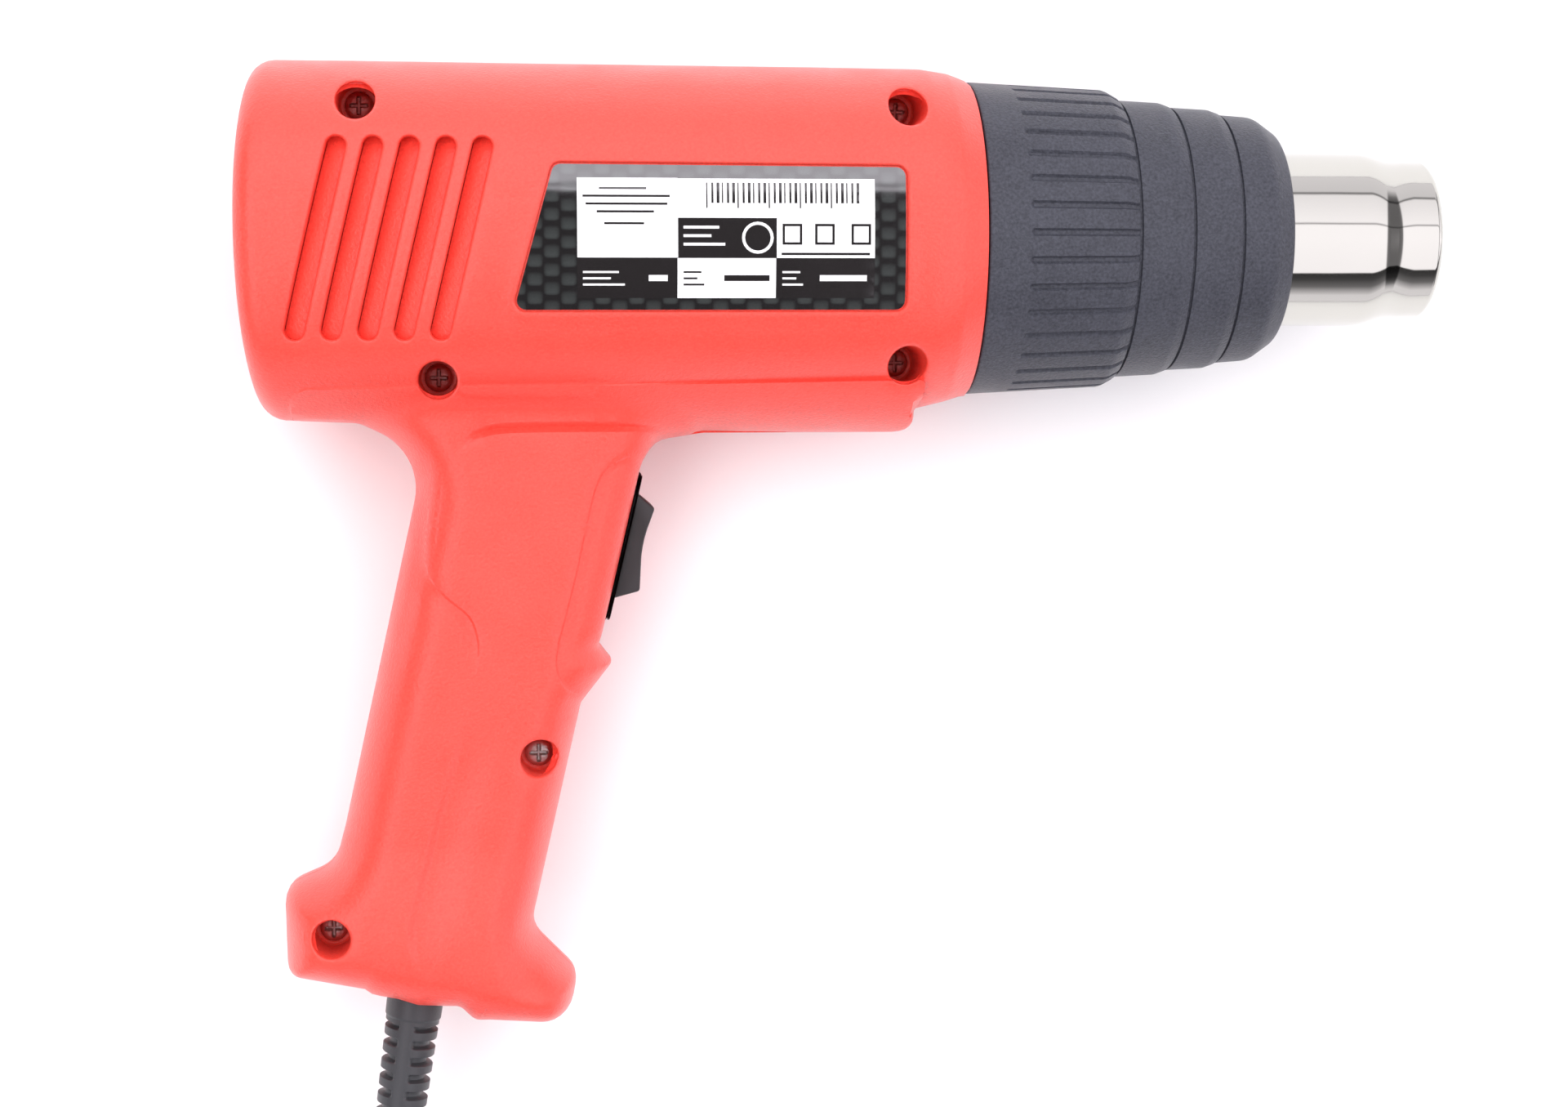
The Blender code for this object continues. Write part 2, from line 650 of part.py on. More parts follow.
def motor_and_fan():
    can = [(16.0, 5.0), (16.0, 15.5), (17.5, 17.0), (49.0, 17.0), (50.0, 16.0), (50.0, 6.0), (53.0, 6.0)]
    turned("motor_can", can + [(53.0, 1.9), (18.0, 1.9), (18.0, 5.0)], ZINC, 24)
    cylinder("motor_shaft", (12.6, 0, 0), (72.0, 0, 0), 1.5, CHROME, 12)
    hub = [(59.0, 1.8), (59.0, 7.5), (69.0, 7.5), (71.0, 5.5), (71.0, 1.8)]
    fan = turned("fan_impeller", hub, WHITE, 24)
    for index in range(FAN_BLADES):
        turn = Matrix.Rotation(math.tau * index / FAN_BLADES, 3, "X")
        rings = []
        for radius, lean in ((6.9, 38.0), (14.0, 50.0), (21.0, 58.0), (28.3, 63.0)):
            chord = Vector((math.cos(math.radians(lean)), 0, math.sin(math.radians(lean)))) * 5.4
            thick = Vector((-chord.z, 0, chord.x)).normalized() * 0.7
            middle = Vector((65.0, radius, 0))
            corners = (chord + thick, -chord + thick, -chord - thick, chord - thick)
            rings.append([turn @ (middle + corner) for corner in corners])
        join(fan, lofted("blade", rings, WHITE))


def fan_duct():
    """Holds the motor's nose on three arms and funnels the air into the steel tube."""
    outer = [(52.4, 31.2), (76.0, 31.2), (92.8, 21.2), (98.0, 21.2)]
    inner = [(98.0, NOZZLE_RADIUS + GAP), (92.0, NOZZLE_RADIUS + GAP), (74.5, 29.4), (52.4, 29.4)]
    duct = turned("fan_duct", outer + inner, WHITE, 32)
    ring = turned("collar", [(50.6, 6.4), (50.6, 10.0), (55.0, 10.0), (55.0, 6.4)], WHITE, 24)
    for index in range(3):
        arm = box("arm", (52.4, 8.5, -2.5), (55.0, 30.4, 2.5), WHITE)
        arm.data.transform(Matrix.Rotation(math.tau * (index + 0.5) / 3, 4, "X"))
        join(ring, arm)
    join(duct, ring)
    return cut(duct, cylinder("notch", (86, -36, 0), (86, -15, 0), 2.0, WHITE, 12))


def heater():
    """Mica cross carrying two windings, inside a mica sleeve behind the outlet."""
    half, reach = 0.8, 14.6
    cross = []
    for turn in range(4):
        quarter = Matrix.Rotation(turn * math.pi / 2, 2)
        cross += [tuple(quarter @ Vector(corner)) for corner in ((reach, -half), (reach, half), (half, half))]
    rings = [[(x, y, z) for y, z in cross] for x in (106.0, 192.0)]
    lofted("heater_former", rings, MICA)
    turned("mica_sleeve", [(104.0, 16.9), (196.0, 16.9), (196.0, 17.4), (104.0, 17.4)], MICA, 32)
    disc = cylinder("heater_base", (102.0, 0, 0), (103.7, 0, 0), 17.4, MICA, 24)
    for index in range(6):
        turn = math.tau * (index + 0.5) / 6
        y, z = 11.0 * math.cos(turn), 11.0 * math.sin(turn)
        cut(disc, cylinder("air", (100, y, z), (106, y, z), 4.2, MICA, 10))
    box("thermal_cutout", (94.5, -4.0, 6.5), (101.7, 4.0, 9.5), WHITE)
    for name, start in (("heating_coil_low", 109.0), ("heating_coil_high", 151.0)):
        points = []
        for step in range(6 * 10 + 1):
            turn = math.tau * step / 10
            points.append((start + 37.0 * step / 60, 16.1 * math.cos(turn), 16.1 * math.sin(turn)))
        wire(name, points, 0.42, CHROME)


def motor_board():
    cylinder("rectifier_board", (9.6, 0, 0), (11.2, 0, 0), 14.0, BOARD, 24)
    box("bridge_rectifier", (5.6, 2.0, -5.0), (9.3, 12.0, 5.0), BLACK)
    cylinder("suppression_capacitor", (6.2, -7.0, -5.0), (6.2, -7.0, 5.0), 2.6, WIRE_BLUE, 12)


def wire(name, points, radius, finish, origin=(0, 0, 0)):
    """A round tube along the points, with flat ends."""
    curve = bpy.data.curves.new(name, "CURVE")
    curve.dimensions = "3D"
    curve.bevel_depth = radius * MM
    curve.bevel_resolution = 2 if radius > 3 else 0
    curve.use_fill_caps = True
    spline = curve.splines.new("POLY")
    spline.points.add(len(points) - 1)
    for point, place in zip(spline.points, points):
        point.co = (*(Vector(place) * MM), 1.0)
    return add(name, curve, finish, origin)


def smooth_route(route, spacing):
    """Points about the given spacing apart on a smooth curve through the route's points."""
    ends = [Vector(route[0]) * 2 - Vector(route[1]), Vector(route[-1]) * 2 - Vector(route[-2])]
    knots = [ends[0]] + [Vector(point) for point in route] + [ends[1]]
    points = []
    for p0, p1, p2, p3 in zip(knots, knots[1:], knots[2:], knots[3:]):
        steps = max(1, round((p2 - p1).length / spacing))
        for step in range(steps):
            t = step / steps
            points.append(0.5 * (
                2 * p1 + (p2 - p0) * t + (2 * p0 - 5 * p1 + 4 * p2 - p3) * t * t
                + (3 * p1 - p0 - 3 * p2 + p3) * t ** 3
            ))
    return [tuple(point) for point in points] + [tuple(route[-1])]


def inner_wiring():
    inner_end = relief_point(-26.0)
    cylinder("inner_cord", relief_point(-5.9), inner_end, CORD_RADIUS, GREY_RUBBER, 12)
    start = relief_point(-26.3)
    live = [(start[0] - 1.5, start[1], 0), (41.0, -120.0, 2.0), (48.0, -100.0, 3.0), seat_point(9, -26.2)]
    neutral = [
        (start[0] + 1.5, start[1], 0), (44.0, -112.0, -3.0), (50.0, -80.0, -6.0), (52.5, -55.0, -5.0),
        (51.0, -38.0, 0.0), (49.8, -26.0, 0.0), (45.0, -20.6, 0.0), (28.0, -20.4, 0.0), (17.0, -19.5, 0.0),
        (14.4, -16.0, 0.0), (13.8, -12.5, 0.0), (12.4, -11.0, 0.0),
    ]
    heater_feed = [
        seat_point(-9, -26.2), (56.0, -43.0, 0.0), (63.0, -36.5, 0.0), (76.0, -33.8, 0.0), (84.0, -31.0, 0.0),
        (86.1, -26.0, 0.0), (86.6, -19.0, 0.0), (89.5, -12.0, 0.0), (95.0, -7.5, 0.0), (101.2, -6.5, 0.0),
    ]
    wire("live_wire", smooth_route(live, 6.0), 0.8, WIRE_BROWN)
    wire("neutral_wire", smooth_route(neutral, 5.0), 0.8, WIRE_BLUE)
    wire("heater_wire", smooth_route(heater_feed, 4.0), 0.8, WIRE_BROWN)
    for index, along in enumerate((-9.0, 0.0, 9.0)):
        rings = [
            [seat_point(along + shift, out, side) for shift, out in
             ((-0.4, -17.3), (0.4, -17.3), (0.4, -25.0), (-0.4, -25.0))]
            for side in (-3.1, 3.1)
        ]
        lofted(f"switch_terminal_{index + 1}", rings, BRASS)


def cord_clamp():
    """Bridge over the inner cord, screwed to two bosses of the left shell."""
    (low_y, high_y), (left, right) = CLAMP_Y, [place[0] for place in CLAMP_SCREW_PLACES]
    middle = relief_point(-13.7)[0]
    profile = [
        (left - 3, 0.1), (middle - 4.2, 0.1), (middle - 4.2, 4.0), (middle + 4.2, 4.0),
        (middle + 4.2, 0.1), (right + 3, 0.1), (right + 3, 6.4), (left - 3, 6.4),
    ]
    clamp = lofted("cord_clamp", [[(x, y, z) for x, z in profile] for y in (low_y, high_y)], BLACK)
    for place in CLAMP_SCREW_PLACES:
        cut(clamp, along_z("hole", place, CLAMP_SHANK_RADIUS + GAP, -2, 9, 12))
    for index, place in enumerate(CLAMP_SCREW_PLACES):
        screw(f"clamp_screw_{index + 1}", place, 2.2, CLAMP_SHANK_RADIUS, 6.7, 1.8, 17.5)


# ---------------------------------------------------------------- cord, coil and plug

def cord_and_plug():
    lead = [
        relief_point(RELIEF_LENGTH + GAP), relief_point(RELIEF_LENGTH + 10), (25.0, -233.0, -6.5),
        (21.8, -250.0, -19.0), (19.4, -266.0, -28.8), (17.2, -282.0, FLOOR_Z + CORD_RADIUS + 0.1),
        (15.0, -291.0, FLOOR_Z + CORD_RADIUS + 0.1),
    ]
    wire("cord_lead", smooth_route(lead, 7.0), CORD_RADIUS, GREY_RUBBER)

    centre = Vector((*COIL_CENTRE, 0))
    low, high = FLOOR_Z + COIL_CLEARANCE, FLOOR_Z + COIL_CLEARANCE + COIL_HEIGHT
    inner, outer = COIL_MEAN_RADIUS - COIL_HALF_BUNDLE, COIL_MEAN_RADIUS + COIL_HALF_BUNDLE
    bevel = 3.0
    section = [
        (inner + bevel, low), (outer - bevel, low), (outer, low + bevel), (outer, high - bevel),
        (outer - bevel, high), (inner + bevel, high), (inner, high - bevel), (inner, low + bevel),
    ]
    ring = turned("cord_coil", [(z, radius) for radius, z in section], GREY_RUBBER, 28)
    ring.data.transform(Matrix.Translation(centre * MM) @ Matrix.Rotation(math.pi / 2, 4, "Y").inverted())

    tie_gap, tie_thick, tie_half = 0.35, 0.9, 4.0
    turn = Matrix.Rotation(COIL_TIE_TURN, 3, "Z")
    near, far = inner - 3 * tie_gap, outer + tie_gap
    bottom, top = low - tie_gap, high + tie_gap
    loop = [(near, bottom), (far, bottom), (far, top), (near, top)]
    wide = [(near - tie_thick, bottom - tie_thick), (far + tie_thick, bottom - tie_thick),
            (far + tie_thick, top + tie_thick), (near - tie_thick, top + tie_thick)]

    def band(name, corners, half):
        rings = [[centre + turn @ Vector((r, side, z)) for r, z in corners] for side in (-half, half)]
        return lofted(name, rings, BLACK)

    cut(band("coil_tie", wide, tie_half), band("inside", loop, tie_half + 1))

    floor = FLOOR_Z + CORD_RADIUS + 0.1
    tail = [
        (103.2, -354.5, floor), (110.0, -346.0, floor), (115.0, -336.0, floor + 0.8),
        (117.0, -325.0, floor + 3.6), (117.5, -312.0, PLUG_Z - 0.6), (117.5, -302.3, PLUG_Z),
    ]
    wire("cord_end", smooth_route(tail, 7.0), CORD_RADIUS, GREY_RUBBER)
    plug(Vector((117.5, -302.0, PLUG_Z)))


def plug(start):
    """Two-pin round-contour plug lying flat, its pins pointing along +y."""
    width, height = PLUG_FACE
    profile = [
        (0.0, 5.2, 5.2), (12.0, 6.2, 6.2), (13.0, 9.0, 7.5), (20.0, 15.0, 10.5), (28.0, width / 2, height / 2),
        (38.0, width / 2, height / 2),
    ]
    rings = []
    for along, half_width, half_height in profile:
        ring = []
        for step in range(24):
            turn = math.tau * step / 24
            ring.append(start + Vector((half_width * math.cos(turn), along, half_height * math.sin(turn))))
        rings.append(ring)
    body = lofted("plug_body", rings, BLACK)
    for index, side in enumerate((-9.5, 9.5)):
        base = start + Vector((side, 32.0, 0))
        cut(body, cylinder("socket", base, base + Vector((0, 9, 0)), 2.4 + GAP, BLACK, 12))
        tip = start + Vector((side, 57.0, 0))
        cylinder(f"plug_pin_{index + 1}", base + Vector((0, GAP, 0)), tip, 2.4, BRASS, 12)


def build():
    shell("right_shell", True)
    shell("left_shell", False)
    front_guard()
    nozzle_tube()
    rating_label()
    for index, place in enumerate(SCREW_PLACES):
        seat = SCREW_HEAD_Z - 1.9
        screw(f"case_screw_{index + 1}", place, SCREW_HEAD_RADIUS, SCREW_SHANK_RADIUS, seat, 2.2, 18.0)
    strain_relief()
    switch_body()
    rocker()
    motor_and_fan()
    fan_duct()
    heater()
    motor_board()
    inner_wiring()
    cord_clamp()
    cord_and_plug()


clear_scene()
FRAME = gun_frame()
if __name__ == "__main__":
    build()
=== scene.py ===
"""Looks of a hot-air gun lying on its left side, on a pale floor, seen from above.

Sizes are in millimetres in the gun's own frame: x forward from the flat rear face, y up from the
barrel's axis, z from the parting plane to the right side, which faces up.  The frame's boxes say
where that is in the row frame.
"""

import json
import math
from functools import partial

import bmesh
import bpy
import numpy as np
from mathutils import Matrix, Vector
from mathutils.geometry import delaunay_2d_cdt
from mathutils.kdtree import KDTree

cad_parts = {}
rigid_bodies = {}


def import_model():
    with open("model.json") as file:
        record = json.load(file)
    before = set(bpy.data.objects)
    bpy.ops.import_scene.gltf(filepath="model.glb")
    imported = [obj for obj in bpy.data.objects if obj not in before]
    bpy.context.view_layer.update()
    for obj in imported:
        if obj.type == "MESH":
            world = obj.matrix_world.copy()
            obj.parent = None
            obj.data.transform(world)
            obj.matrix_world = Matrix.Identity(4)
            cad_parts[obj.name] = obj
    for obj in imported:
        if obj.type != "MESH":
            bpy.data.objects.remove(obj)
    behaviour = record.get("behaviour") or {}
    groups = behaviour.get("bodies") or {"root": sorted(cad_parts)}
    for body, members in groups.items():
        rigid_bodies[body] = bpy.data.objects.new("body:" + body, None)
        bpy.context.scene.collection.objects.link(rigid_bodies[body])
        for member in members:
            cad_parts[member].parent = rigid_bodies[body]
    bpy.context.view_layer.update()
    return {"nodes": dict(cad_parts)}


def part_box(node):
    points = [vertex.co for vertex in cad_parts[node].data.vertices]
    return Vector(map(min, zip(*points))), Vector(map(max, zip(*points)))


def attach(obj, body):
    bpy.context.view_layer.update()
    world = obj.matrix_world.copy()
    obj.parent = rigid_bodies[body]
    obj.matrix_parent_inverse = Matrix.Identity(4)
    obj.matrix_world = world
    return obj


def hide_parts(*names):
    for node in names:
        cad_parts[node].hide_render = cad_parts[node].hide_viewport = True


for thing in list(bpy.data.objects):
    bpy.data.objects.remove(thing)
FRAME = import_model()

MM = 0.001
TUBE_LOW, TUBE_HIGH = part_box("nozzle_tube")
REAR_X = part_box("right_shell")[0].x
AXIS_Y = (TUBE_LOW.y + TUBE_HIGH.y) / 2
AXIS_Z = (TUBE_LOW.z + TUBE_HIGH.z) / 2
LENGTH = (TUBE_HIGH.x - REAR_X) / MM
FLOOR_Z = -AXIS_Z / MM

# Barrel
BARREL_LENGTH = 152.9
HALF_WIDTH = 36
REAR_HALF_HEIGHT, FRONT_HALF_HEIGHT = 37.6, 36.3
REAR_CENTRE_Y, FRONT_CENTRE_Y = -0.8, -0.2
SIDE_FLATNESS, MOUTH_FLATNESS = 2.7, 2
REAR_ROUNDING, REAR_CORNER = 4.5, 5.2
REAR_INSET, REAR_BULGE_Y, REAR_BULGE = 0.9, 3, 480
FRONT_CREASES = (142.9, 147.7, BARREL_LENGTH)
MOUTH_RADIUS = 33.75
LIP_RADIUS = 30
SHELL_WALL = 2
SEAM = 0.15

# Saddle under the barrel
SADDLE_X = (10.4, 141.7)
SADDLE_BOTTOM_Y = (-39.4, -41.8)
SADDLE_HALF_WIDTH = (33, 32.2)
SADDLE_STEP, SADDLE_RISE, SADDLE_GROOVE = 0.35, 0.35, 0.2

# Grip
GRIP_SLANT = math.radians(13.2)
GRIP_HALF_THICKNESS, LOBE_HALF_THICKNESS = 18, 21
GRIP_EDGE, GRIP_FLATNESS, GRIP_BLEND = 12, 2.4, 2.6
LOBE_TOP_Y, LOBE_LENGTH = -126, 22
GRIP_END_Y, FAR = -160, 100
SEAT_HALF_WIDTH = 9.2
PARTING_EDGE = 0.6
EDGE_SWELL = 125  # how fast the outer face may rise from the silhouette
SWITCH_CENTRE = (78.95, -65.3)
SEAT_SPAN, OPENING_HALF_LENGTH, OPENING_HALF_WIDTH = (-32, 28), 14.2, 6.6

# Shell details
WELLS = ((25.1, 27), (137.2, 26.4), (40.9, -29.3), (137.2, -26.4), (61.1, -108.9), (17.5, -145.8))
WELL_RADIUS, WELL_FLOOR_Z, SHANK_RADIUS = 4, 6.8, 1.8
SLOT_COUNT, SLOT_PITCH, SLOT_WIDTH = 5, 7.25, 4
SLOT_LOW, SLOT_HIGH = (12.7, -19), (21.4, 17.6)
SLOT_DEPTH = 5.6
LABEL_CORNERS = ((56.2, -15.1), (135.7, -15.1), (135.7, 13.9), (64.4, 14.3))
LABEL_RECESS, LABEL_THICKNESS = 1, 0.35

# Cord
CORD_RADIUS = 3.5
RELIEF_ROOT = (34.2, -163.6)
RELIEF_LEAN = math.radians(8)
RELIEF_LENGTH, RELIEF_HOLE, RELIEF_INSIDE = 46, 6.3, 5.6
CORD_REST_Z = FLOOR_Z + CORD_RADIUS + 0.1
COIL_CENTRE = (57, -325)
PLUG_START = (117.5, -302, FLOOR_Z + 12.55)

# Camera and lamps, the lamps' places and sizes in metres
CAMERA_PLACE, CAMERA_TARGET, CAMERA_LENS = (50.05, -11.8, 598.3), (114.5, -67.7, 0), 64.1
LAMPS_TARGET = (90, -50, 0)
LAMPS = (
    ("overhead", (-0.1, 0.25, 1.5), (1.7, 1.2), 16.6),
    ("top_side", (0, 1.4, 0.7), (1.8, 0.8), 5),
    ("rear_fill", (-0.9, -0.7, 0.7), (1, 0.8), 3.6),
)


def link(made):
    bpy.context.scene.collection.objects.link(made)


def world(point):
    """A point of the gun's frame, in metres in the row frame."""
    x, y, z = point
    return Vector((REAR_X + x * MM, AXIS_Y + y * MM, AXIS_Z + z * MM))


# ---- materials

def node(tree, kind, inputs=(), **settings):
    made = tree.nodes.new("ShaderNode" + kind)
    for name, value in settings.items():
        setattr(made, name, value)
    for socket, value in dict(inputs).items():
        if hasattr(value, "is_output"):
            tree.links.new(value, made.inputs[socket])
        else:
            made.inputs[socket].default_value = value
    return made


def maths(tree, operation, *values):
    """The output of a math node, whose inputs are numbers or the outputs of other nodes."""
    return node(tree, "Math", dict(enumerate(values)), operation=operation).outputs[0]


FLECK_SIZE = 0.6


def surface(name, colour, roughness, grain=(), mottle=0, fleck=0, metallic=0, coat=0,
            coat_ior=1.5, specular=0.5):
    """A moulded, plated or rubber surface.

    grain is a list of (size in mm, height in mm) of bumps laid over each other, mottle is how much
    the colour and the roughness wander over the surface, and fleck is the same for fine specks.
    """
    made = bpy.data.materials.new(name)
    made.use_nodes = True
    tree = made.node_tree
    shader = tree.nodes["Principled BSDF"]
    for socket, value in {
        "Metallic": metallic, "Specular IOR Level": specular, "Coat Weight": coat,
        "Coat Roughness": 0.1, "Coat IOR": coat_ior,
    }.items():
        shader.inputs[socket].default_value = value
    place = node(tree, "TexCoord").outputs["Object"]

    def noise(scale, detail):
        made = node(tree, "TexNoise", {"Vector": place, "Scale": scale, "Detail": detail})
        return made.outputs["Fac"]

    cloud, specks = noise(90, 4), noise(1000 / FLECK_SIZE, 1)
    spread = 0.12 + 0.3 * mottle
    rough = node(tree, "MapRange", {
        "Value": cloud, "From Min": 0.3, "From Max": 0.7,
        "To Min": roughness * (1 - spread), "To Max": min(1, roughness * (1 + spread)),
    })
    tree.links.new(rough.outputs["Result"], shader.inputs["Roughness"])
    spread = 0.9 * mottle + 2.5 * fleck
    mixed = node(tree, "Mix", {0: fleck / max(mottle + fleck, 0.01), 2: cloud, 3: specks})
    dark = tuple(channel * max(0, 1 - 0.5 * spread) for channel in colour)
    light = tuple(min(1, channel * (1 + 0.5 * spread)) for channel in colour)
    ends = {0: mixed.outputs[0], 6: (*dark, 1), 7: (*light, 1)}
    tint = node(tree, "Mix", ends, data_type="RGBA")
    tree.links.new(tint.outputs[2], shader.inputs["Base Color"])
    normal = None
    for size, height in grain:
        inputs = {"Height": noise(1000 / size, 2), "Strength": 1, "Distance": height * MM}
        if normal:
            inputs["Normal"] = normal
        normal = node(tree, "Bump", inputs).outputs["Normal"]
    if normal:
        tree.links.new(normal, shader.inputs["Normal"])
    return made


RED = surface("red_shell", (0.93, 0.062, 0.042), 0.34, [(0.7, 0.11), (0.3, 0.05)], 0.05, 0.25,
              specular=0.6)
BLACK = surface("black_guard", (0.05, 0.052, 0.065), 0.42, [(0.7, 0.12), (0.35, 0.08)], 0.2, 0.55,
                specular=0.25)
SWITCH_BLACK = surface("switch_black", (0.03, 0.026, 0.027), 0.42, [(0.5, 0.015)], 0.15,
                       specular=0.4)
RUBBER = surface("grey_rubber", (0.042, 0.043, 0.047), 0.44, [(2.5, 0.05), (0.4, 0.03)], 0.3, 0.1)
CHROME = surface("chrome", (0.55, 0.545, 0.5), 0.06, [(14, 0.03)], 0.03, metallic=1)
ZINC = surface("zinc", (0.6, 0.56, 0.53), 0.5, [(0.6, 0.14)], 0.4, metallic=1)
BRASS = surface("plated_brass", (0.74, 0.62, 0.36), 0.22, [(3, 0.02)], 0.2, metallic=1)
MICA = surface("mica", (0.52, 0.42, 0.3), 0.5, [(1.5, 0.05)], 0.6)
WHITE = surface("white_moulding", (0.74, 0.73, 0.68), 0.45, [(0.8, 0.02)], 0.12)
BOARD = surface("circuit_board", (0.05, 0.2, 0.08), 0.4, [(0.6, 0.02)], 0.3)
WIRE_BROWN = surface("brown_insulation", (0.16, 0.06, 0.025), 0.4, [(1, 0.02)], 0.2)
WIRE_BLUE = surface("blue_insulation", (0.03, 0.09, 0.4), 0.4, [(1, 0.02)], 0.2)
PRINT_WHITE = surface("print_white", (0.84, 0.84, 0.84), 0.25, [(16, 0.25)], 0.03, coat=0.6)
PRINT_INK = surface("print_ink", (0.012, 0.01, 0.01), 0.15, [(16, 0.25)], 0.1, coat=1, coat_ior=2)


WEAVE_STEP = (3.4, 3.7)  # mm across and along a column


def woven_film():
    """Glossy black film: pillows of painted shade in columns, every other one half a step lower."""
    made = surface("woven_film", (0.02, 0.02, 0.022), 0.1, [(16, 0.25)], 0.1, coat=1, coat_ior=2.2,
                   specular=1)
    tree = made.node_tree
    place = node(tree, "TexCoord").outputs["Object"]
    parts = node(tree, "SeparateXYZ", {"Vector": place})
    calc = partial(maths, tree)

    def centred(value):
        """The share of a step, from its middle."""
        return calc("SUBTRACT", calc("FRACT", calc("ADD", value, 100)), 0.5)

    def edge(value, steepness):
        return calc("POWER", calc("ABSOLUTE", calc("MULTIPLY", value, steepness)), 4)

    column = calc("DIVIDE", parts.outputs["X"], WEAVE_STEP[0] * MM)
    turn = calc("MODULO", calc("FLOOR", calc("ADD", column, 100)), 2)
    row = calc("ADD", calc("DIVIDE", parts.outputs["Y"], WEAVE_STEP[1] * MM),
               calc("MULTIPLY", turn, 0.5))
    across, along = centred(column), centred(row)
    pillow = calc("SUBTRACT", 1, calc("ADD", edge(across, 2.05), edge(along, 2.6)))
    # Painted shade: each pillow is lighter towards its middle and its lower end, and darker at its
    # edges and upper end
    shade = calc("MULTIPLY", calc("MAXIMUM", pillow, 0), calc("SUBTRACT", 0.75, along))
    ends = {0: shade, 6: (0.006, 0.005, 0.005, 1), 7: (0.04, 0.046, 0.044, 1)}
    colour = node(tree, "Mix", ends, data_type="RGBA")
    tree.links.new(colour.outputs[2], tree.nodes["Principled BSDF"].inputs["Base Color"])
    return made


FILM = woven_film()


# ---- mesh helpers

def register(made, body, nodes):
    """Adds an object to the scene, riding on a body and standing for CAD nodes."""
    link(made)
    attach(made, body)
    if nodes:
        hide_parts(*nodes)


def shade(mesh, sharp=35):
    mesh.shade_smooth()
    mesh.set_sharp_from_angle(angle=math.radians(sharp))


def piece(name, points, faces, materials, body="root", nodes=(), slot=None, indices=None, sharp=35):
    """A mesh piece from points in the gun's frame, riding on a body and standing for CAD nodes."""
    mesh = bpy.data.meshes.new(name)
    mesh.from_pydata([world(point) for point in points], [], faces)
    for material in materials:
        mesh.materials.append(material)
    if indices:
        mesh.polygons.foreach_set("material_index", indices)
    work = bmesh.new()
    work.from_mesh(mesh)
    bmesh.ops.recalc_face_normals(work, faces=work.faces)
    work.to_mesh(mesh)
    work.free()
    shade(mesh, sharp)
    made = bpy.data.objects.new(name, mesh)
    register(made, body, nodes)
    return made


def loft_faces(count, rings, wrap=False):
    faces = []
    for ring in range(rings if wrap else rings - 1):
        after = (ring + 1) % rings
        for i in range(count):
            j = (i + 1) % count
            faces.append((ring * count + i, ring * count + j, after * count + j, after * count + i))
    if not wrap:
        last = (rings - 1) * count
        faces += [tuple(range(count))[::-1], tuple(range(last, last + count))]
    return faces


def loft(name, rings, materials, wrap=False, **more):
    points = [point for ring in rings for point in ring]
    return piece(name, points, loft_faces(len(rings[0]), len(rings), wrap), materials, **more)


def rounded(corners, spacing):
    """An outline whose corners, given as (x, y, radius), are arcs."""
    outline = []
    around = zip(corners[-1:] + corners[:-1], corners, corners[1:] + corners[:1])
    for before, corner, after in around:
        here = Vector(corner[:2])
        arriving = (here - Vector(before[:2])).normalized()
        leaving = (Vector(after[:2]) - here).normalized()
        bend = math.atan2(arriving.x * leaving.y - arriving.y * leaving.x, arriving.dot(leaving))
        radius = corner[2]
        if radius == 0 or abs(bend) < 0.01:
            outline.append(tuple(here))
            continue
        reach = radius * math.tan(abs(bend) / 2)
        side = math.copysign(1, bend)
        centre = here - arriving * reach + Vector((-arriving.y, arriving.x)) * side * radius
        steps = max(4, round(radius * abs(bend) / spacing))
        first = here - arriving * reach - centre
        for step in range(steps + 1):
            outline.append(tuple(centre + Matrix.Rotation(bend * step / steps, 2) @ first))
    return outline


def divided(outline, longest, closed=True):
    """The outline with points added so that no side is longer than given."""
    points = []
    ends = outline[1:] + outline[:1] if closed else outline[1:]
    for here, after in zip(outline, ends):
        parts = max(1, math.ceil(math.dist(here, after) / longest))
        points += [tuple(Vector(here).lerp(Vector(after), part / parts)) for part in range(parts)]
    return points if closed else points + [outline[-1]]


def chunks(points):
    """The points in parts that keep a table of distances small."""
    return np.array_split(np.asarray(points, float), max(1, len(points) // 3000))


def nearest(points, line, closed=True):
    """Distance of each point to a line, with the side's index and the share along it."""
    starts = np.asarray(line if closed else line[:-1], float)
    ends = np.asarray(line[1:] + line[:1] if closed else line[1:], float)
    sides = ends - starts
    lengths = (sides**2).sum(1)
    found = []
    for part in chunks(points):
        offset = part[:, None, :] - starts[None]
        along = np.clip((offset * sides).sum(2) / lengths, 0, 1)
        gaps = np.linalg.norm(offset - along[..., None] * sides, axis=2)
        best = gaps.argmin(1)
        rows = np.arange(len(part))
        found.append(np.stack([gaps[rows, best], best, along[rows, best]], 1))
    return np.concatenate(found)


def within(points, outline):
    points = np.asarray(points, float)
    inside = np.zeros(len(points), bool)
    for (x1, y1), (x2, y2) in zip(outline, outline[1:] + outline[:1]):
        if y1 == y2:
            continue
        crosses = (y1 > points[:, 1]) != (y2 > points[:, 1])
        reach = (x2 - x1) * (points[:, 1] - y1) / (y2 - y1) + x1
        inside ^= crosses & (points[:, 0] < reach)
    return inside


def signed(points, outline):
    """Distance to a closed outline, positive inside."""
    gap = nearest(points, outline)[:, 0]
    return np.where(within(points, outline), gap, -gap)


